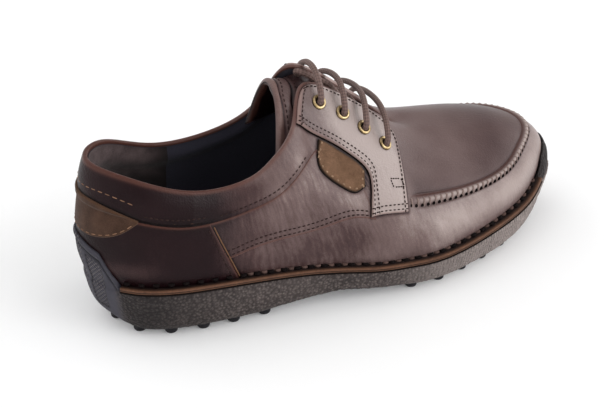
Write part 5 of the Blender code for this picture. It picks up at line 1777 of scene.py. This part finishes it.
def make_floor():
    """A pale floor that curves up into a low wall far away on all sides."""
    points = []
    for turn in np.linspace(0.0, math.pi / 2.0, FLOOR_STEPS):
        radius = FLOOR_FLAT + FLOOR_RISE * math.sin(turn)
        points.append(circle(FLOOR_SIDES, radius, FLOOR_RISE * (1.0 - math.cos(turn))))
    faces = grid_faces(FLOOR_STEPS, FLOOR_SIDES, close_columns=True).tolist()
    faces.append(list(range(FLOOR_SIDES)))
    mesh = bpy.data.meshes.new("floor")
    mesh.from_pydata(np.concatenate(points).tolist(), [], faces)
    mesh.shade_smooth()
    mesh.polygons[len(faces) - 1].use_smooth = False
    mesh.materials.append(floor_material())
    floor = bpy.data.objects.new("floor", mesh)
    bpy.context.scene.collection.objects.link(floor)


# The studio's soft lights, far away on all sides: direction, how narrow each is and its brightness
GLOWS = {
    "ceiling": ((0.0, 0.1, 1.0), 1.5, 0.56),
    "key": ((0.66, -0.66, 0.36), 16.0, 7.0),
    "toe_side": ((0.96, 0.05, 0.25), 22.0, 6.0),
    "back": ((-0.50, 0.75, 0.45), 4.0, 1.25),
    "heel_side": ((-0.85, -0.35, 0.35), 5.0, 1.25),
}
DIM_LIGHT, WHITE = 0.08, (1.0, 1.0, 1.0, 1.0)


def make_studio():
    world = bpy.data.worlds.new("studio")
    nodes = Nodes(world)
    direction = nodes.add("TexCoord").outputs["Generated"]
    total = DIM_LIGHT
    for aim, narrowness, brightness in GLOWS.values():
        facing = nodes.add("VectorMath")
        facing.operation = "DOT_PRODUCT"
        nodes.put(facing.inputs[0], direction)
        nodes.put(facing.inputs[1], Vector(aim).normalized())
        glow = nodes.math("POWER", nodes.math("MAXIMUM", facing.outputs["Value"], 0.0), narrowness)
        total = nodes.plus(nodes.times(glow, brightness), total)
    background = world.node_tree.nodes["Background"]
    nodes.put(background.inputs["Strength"], total)
    nodes.put(background.inputs["Color"], WHITE)
    bpy.context.scene.world = world


# The origin lies on the floor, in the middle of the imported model's sole
sole_points = np.concatenate([rings.reshape(-1, 3) for rings in sole_rings(station_ribs(PART_STATIONS))])
ORIGIN = np.append((sole_points.min(0) + sole_points.max(0))[:2] / 2.0, 0.0)

# Specular level and gloss of the leathers, and the colour of a cut edge where it isn't the usual one: the
# eyestay's pale pink folded edge, partly a painted highlight
LEATHERS = {
    "brown_leather": (0.19, 0.04), "waist_leather": (0.15, 0.03), "counter_leather": (0.115, 0.02),
    "eyestay_leather": (0.32, 0.08, (0.34, 0.225, 0.200))}
# Low and high colour of the napped leathers, then the colour at their edges
NUBUCKS = {
    "nubuck": ((0.075, 0.038, 0.020), (0.225, 0.128, 0.078), (0.004, 0.003, 0.002)),
    "nubuck_heel": ((0.024, 0.012, 0.0075), (0.088, 0.046, 0.030), (0.08, 0.040, 0.022)),
    # The heel lining's edge colour also paints the shade deeper inside the shoe
    "lining_suede": ((0.030, 0.021, 0.021), (0.12, 0.086, 0.086), (0.012, 0.009, 0.009))}
CLOTH_COLOURS = ((0.012, 0.0112, 0.0170), (0.040, 0.0380, 0.0560))
THREADS = {
    "thread_dark": (0.036, 0.020, 0.018), "thread_tan": (0.29, 0.160, 0.098),
    # The near-black for the apron's holes paints the shade in them, and is also the welt's black thread
    "thread_apron": (0.36, 0.262, 0.236), "black_thread_and_hole_shade": (0.006, 0.003, 0.003),
    "pucker_leather": (0.115, 0.070, 0.060), "thread_cream": (0.36, 0.235, 0.150),
    # The near-black for the gaps paints the shadow in them, along the overlays' edges and under the welt
    "gap_shadow": (0.010, 0.006, 0.005), "raw_edge": (0.24, 0.125, 0.070)}
EYESTAY_GRID, PATCH_GRID, HEEL_PATCH_GRID = (170, 80), (110, 60), (150, 50)

looks = {name: leather_material(name, *look) for name, look in LEATHERS.items()}
looks |= {name: nubuck_material(name, *colours) for name, colours in NUBUCKS.items()}
looks |= {name: thread_material(name, colour) for name, colour in THREADS.items()}
leather, counter_leather, gap_shadow = looks["brown_leather"], looks["counter_leather"], looks["gap_shadow"]
cloth = cloth_material("lining_cloth", *CLOTH_COLOURS)
rubber = rubber_material()
welt = welt_material()

bpy.context.scene.view_settings.view_transform = "Standard"
make_camera()

grids = {
    "counter": counter_grid(), "quarter_lateral": quarter_grid(False), "quarter_medial": quarter_grid(True),
    "eyestay_lateral": overlay_grid(EYESTAY_LATERAL, *EYESTAY_GRID),
    "eyestay_medial": overlay_grid(medial_rows(EYESTAY_MEDIAL), *EYESTAY_GRID),
    "patch": overlay_grid(QUARTER_PATCH, *PATCH_GRID),
    "heel_patch": overlay_grid(heel_patch_rows(), *HEEL_PATCH_GRID)}
seams = {name: border_points(grid) for name, grid in grids.items()}
upper_seams = [line for name, line in seams.items() if "quarter" not in name]
make_upper((counter_leather, looks["waist_leather"], leather), upper_seams)
make_lining("lining_cloth", station_ribs(LINING_STATIONS), LINING_CLEARANCE, cloth)
heel_ribs = np.linspace(-HEEL_LINING, HEEL_LINING, HEEL_LINING_STATIONS)
make_lining("lining_heel", heel_ribs, HEEL_LINING_CLEARANCE, looks["lining_suede"])
make_insole(cloth)
tongue_sheet = make_tongue(leather)
make_panels(grids, leather, counter_leather, looks["raw_edge"])
for side in ("lateral", "medial"):
    name = f"eyestay_{side}"
    # The eyestay's painted highlight and painted shade
    painted_light_and_shade = table_value(EYESTAY_LIGHT_AND_SHADE, grids[name][0])
    make_overlay(
        f"eyestay_panel_{side}", grids[name], EYESTAY_TOP, EYESTAY_ROUND, looks["eyestay_leather"],
        "leather", name, bead=EYESTAY_BEAD, painted_light_and_shade=painted_light_and_shade)
make_overlay(
    "quarter_patch_nubuck", grids["patch"], PATCH_TOP, PATCH_ROUND, looks["nubuck"],
    "nubuck", "quarter_patch", lines=[seams["eyestay_lateral"]])
make_overlay(
    "heel_patch_nubuck", grids["heel_patch"], PATCH_TOP, PATCH_ROUND, looks["nubuck_heel"],
    "nubuck", "heel_patch")

make_outsole(rubber)
make_studs(rubber)
whip_rows, pucker_rows, shadow_routes = [], [], []
pucker_offset = (WELT_STITCH_PITCH + WELT_STITCH_LENGTH - PUCKER_LENGTH) / 2.0
for name, span in {"welt_lateral": (0.0, TOE_RIB), "welt_medial": (TOE_RIB, RIBS)}.items():
    low_rib, high_rib = wrap_free_span(*span)
    make_welt(name, low_rib, high_rib, welt)
    whip_rows.append(welt_stitches(low_rib, high_rib, WELT_STITCH_LENGTH, WELT_STITCH_LIFT, 0.0))
    puckers = welt_stitches(low_rib, high_rib, PUCKER_LENGTH, PUCKER_LIFT, pucker_offset)
    ahead = puckers[0][:, 0] > COUNTER_FOOT
    pucker_rows.append([part[ahead] for part in puckers])
    # A near-black cord just under the welt's edge paints the shadow there
    shadow_ribs = np.linspace(low_rib, high_rib, WELT_STATIONS)
    shadow_height = feather_top(shadow_ribs) - WELT_SHADOW_DROP
    shadow_routes.append(feather_ring(shadow_ribs, LEDGE_OUTER + WELT_OVERHANG, shadow_height))
add_stitches("stitches_welt", whip_rows, WELT_STITCH_RADIUS, looks["black_thread_and_hole_shade"])
add_stitches("welt_puckers", pucker_rows, PUCKER_RADIUS, looks["pucker_leather"])
add_piece("welt_shadow_line", tube_shape(shadow_routes, WELT_SHADOW_RADIUS), gap_shadow, "rubber")

make_eyelets(brass_material())
make_lace(lace_material())

# Painted shadow in the gaps along the eyestays' and the patch's edges
for name, radius in GAP_SHADOW_RADII.items():
    edge_cord(inset_line(grids[name], "edge", 0.0), GAP_SHADOW_LIFT, radius, f"{name}_gap", gap_shadow, "leather")
patch_lines = [inset_line(grids["patch"], border, PATCH_ROW) for border in ("edge", "head", "foot")]
patch_rows = [stitch_places(line, PATCH_TOP, *PATCH_THREAD) for line in patch_lines]
add_stitches("stitches_patch", patch_rows, PATCH_STITCH_RADIUS, looks["thread_cream"])
dark_rows, tan_rows = panel_stitches(grids)
dark_rows += [tongue_stitches(tongue_sheet, distance, *TONGUE_THREAD) for distance in TONGUE_STITCH_ROWS]
add_stitches("stitches_dark", dark_rows, DARK_STITCH_RADIUS, looks["thread_dark"])
add_stitches("stitches_tan", tan_rows, TAN_STITCH_RADIUS, looks["thread_tan"])
add_piece("stitches_apron", tube_shape(apron_whips(), APRON_RADIUS), looks["thread_apron"], "leather")
add_stitches("black_thread_and_hole_shade", [apron_holes()], APRON_HOLE_RADIUS, looks["black_thread_and_hole_shade"])

make_floor()
make_studio()
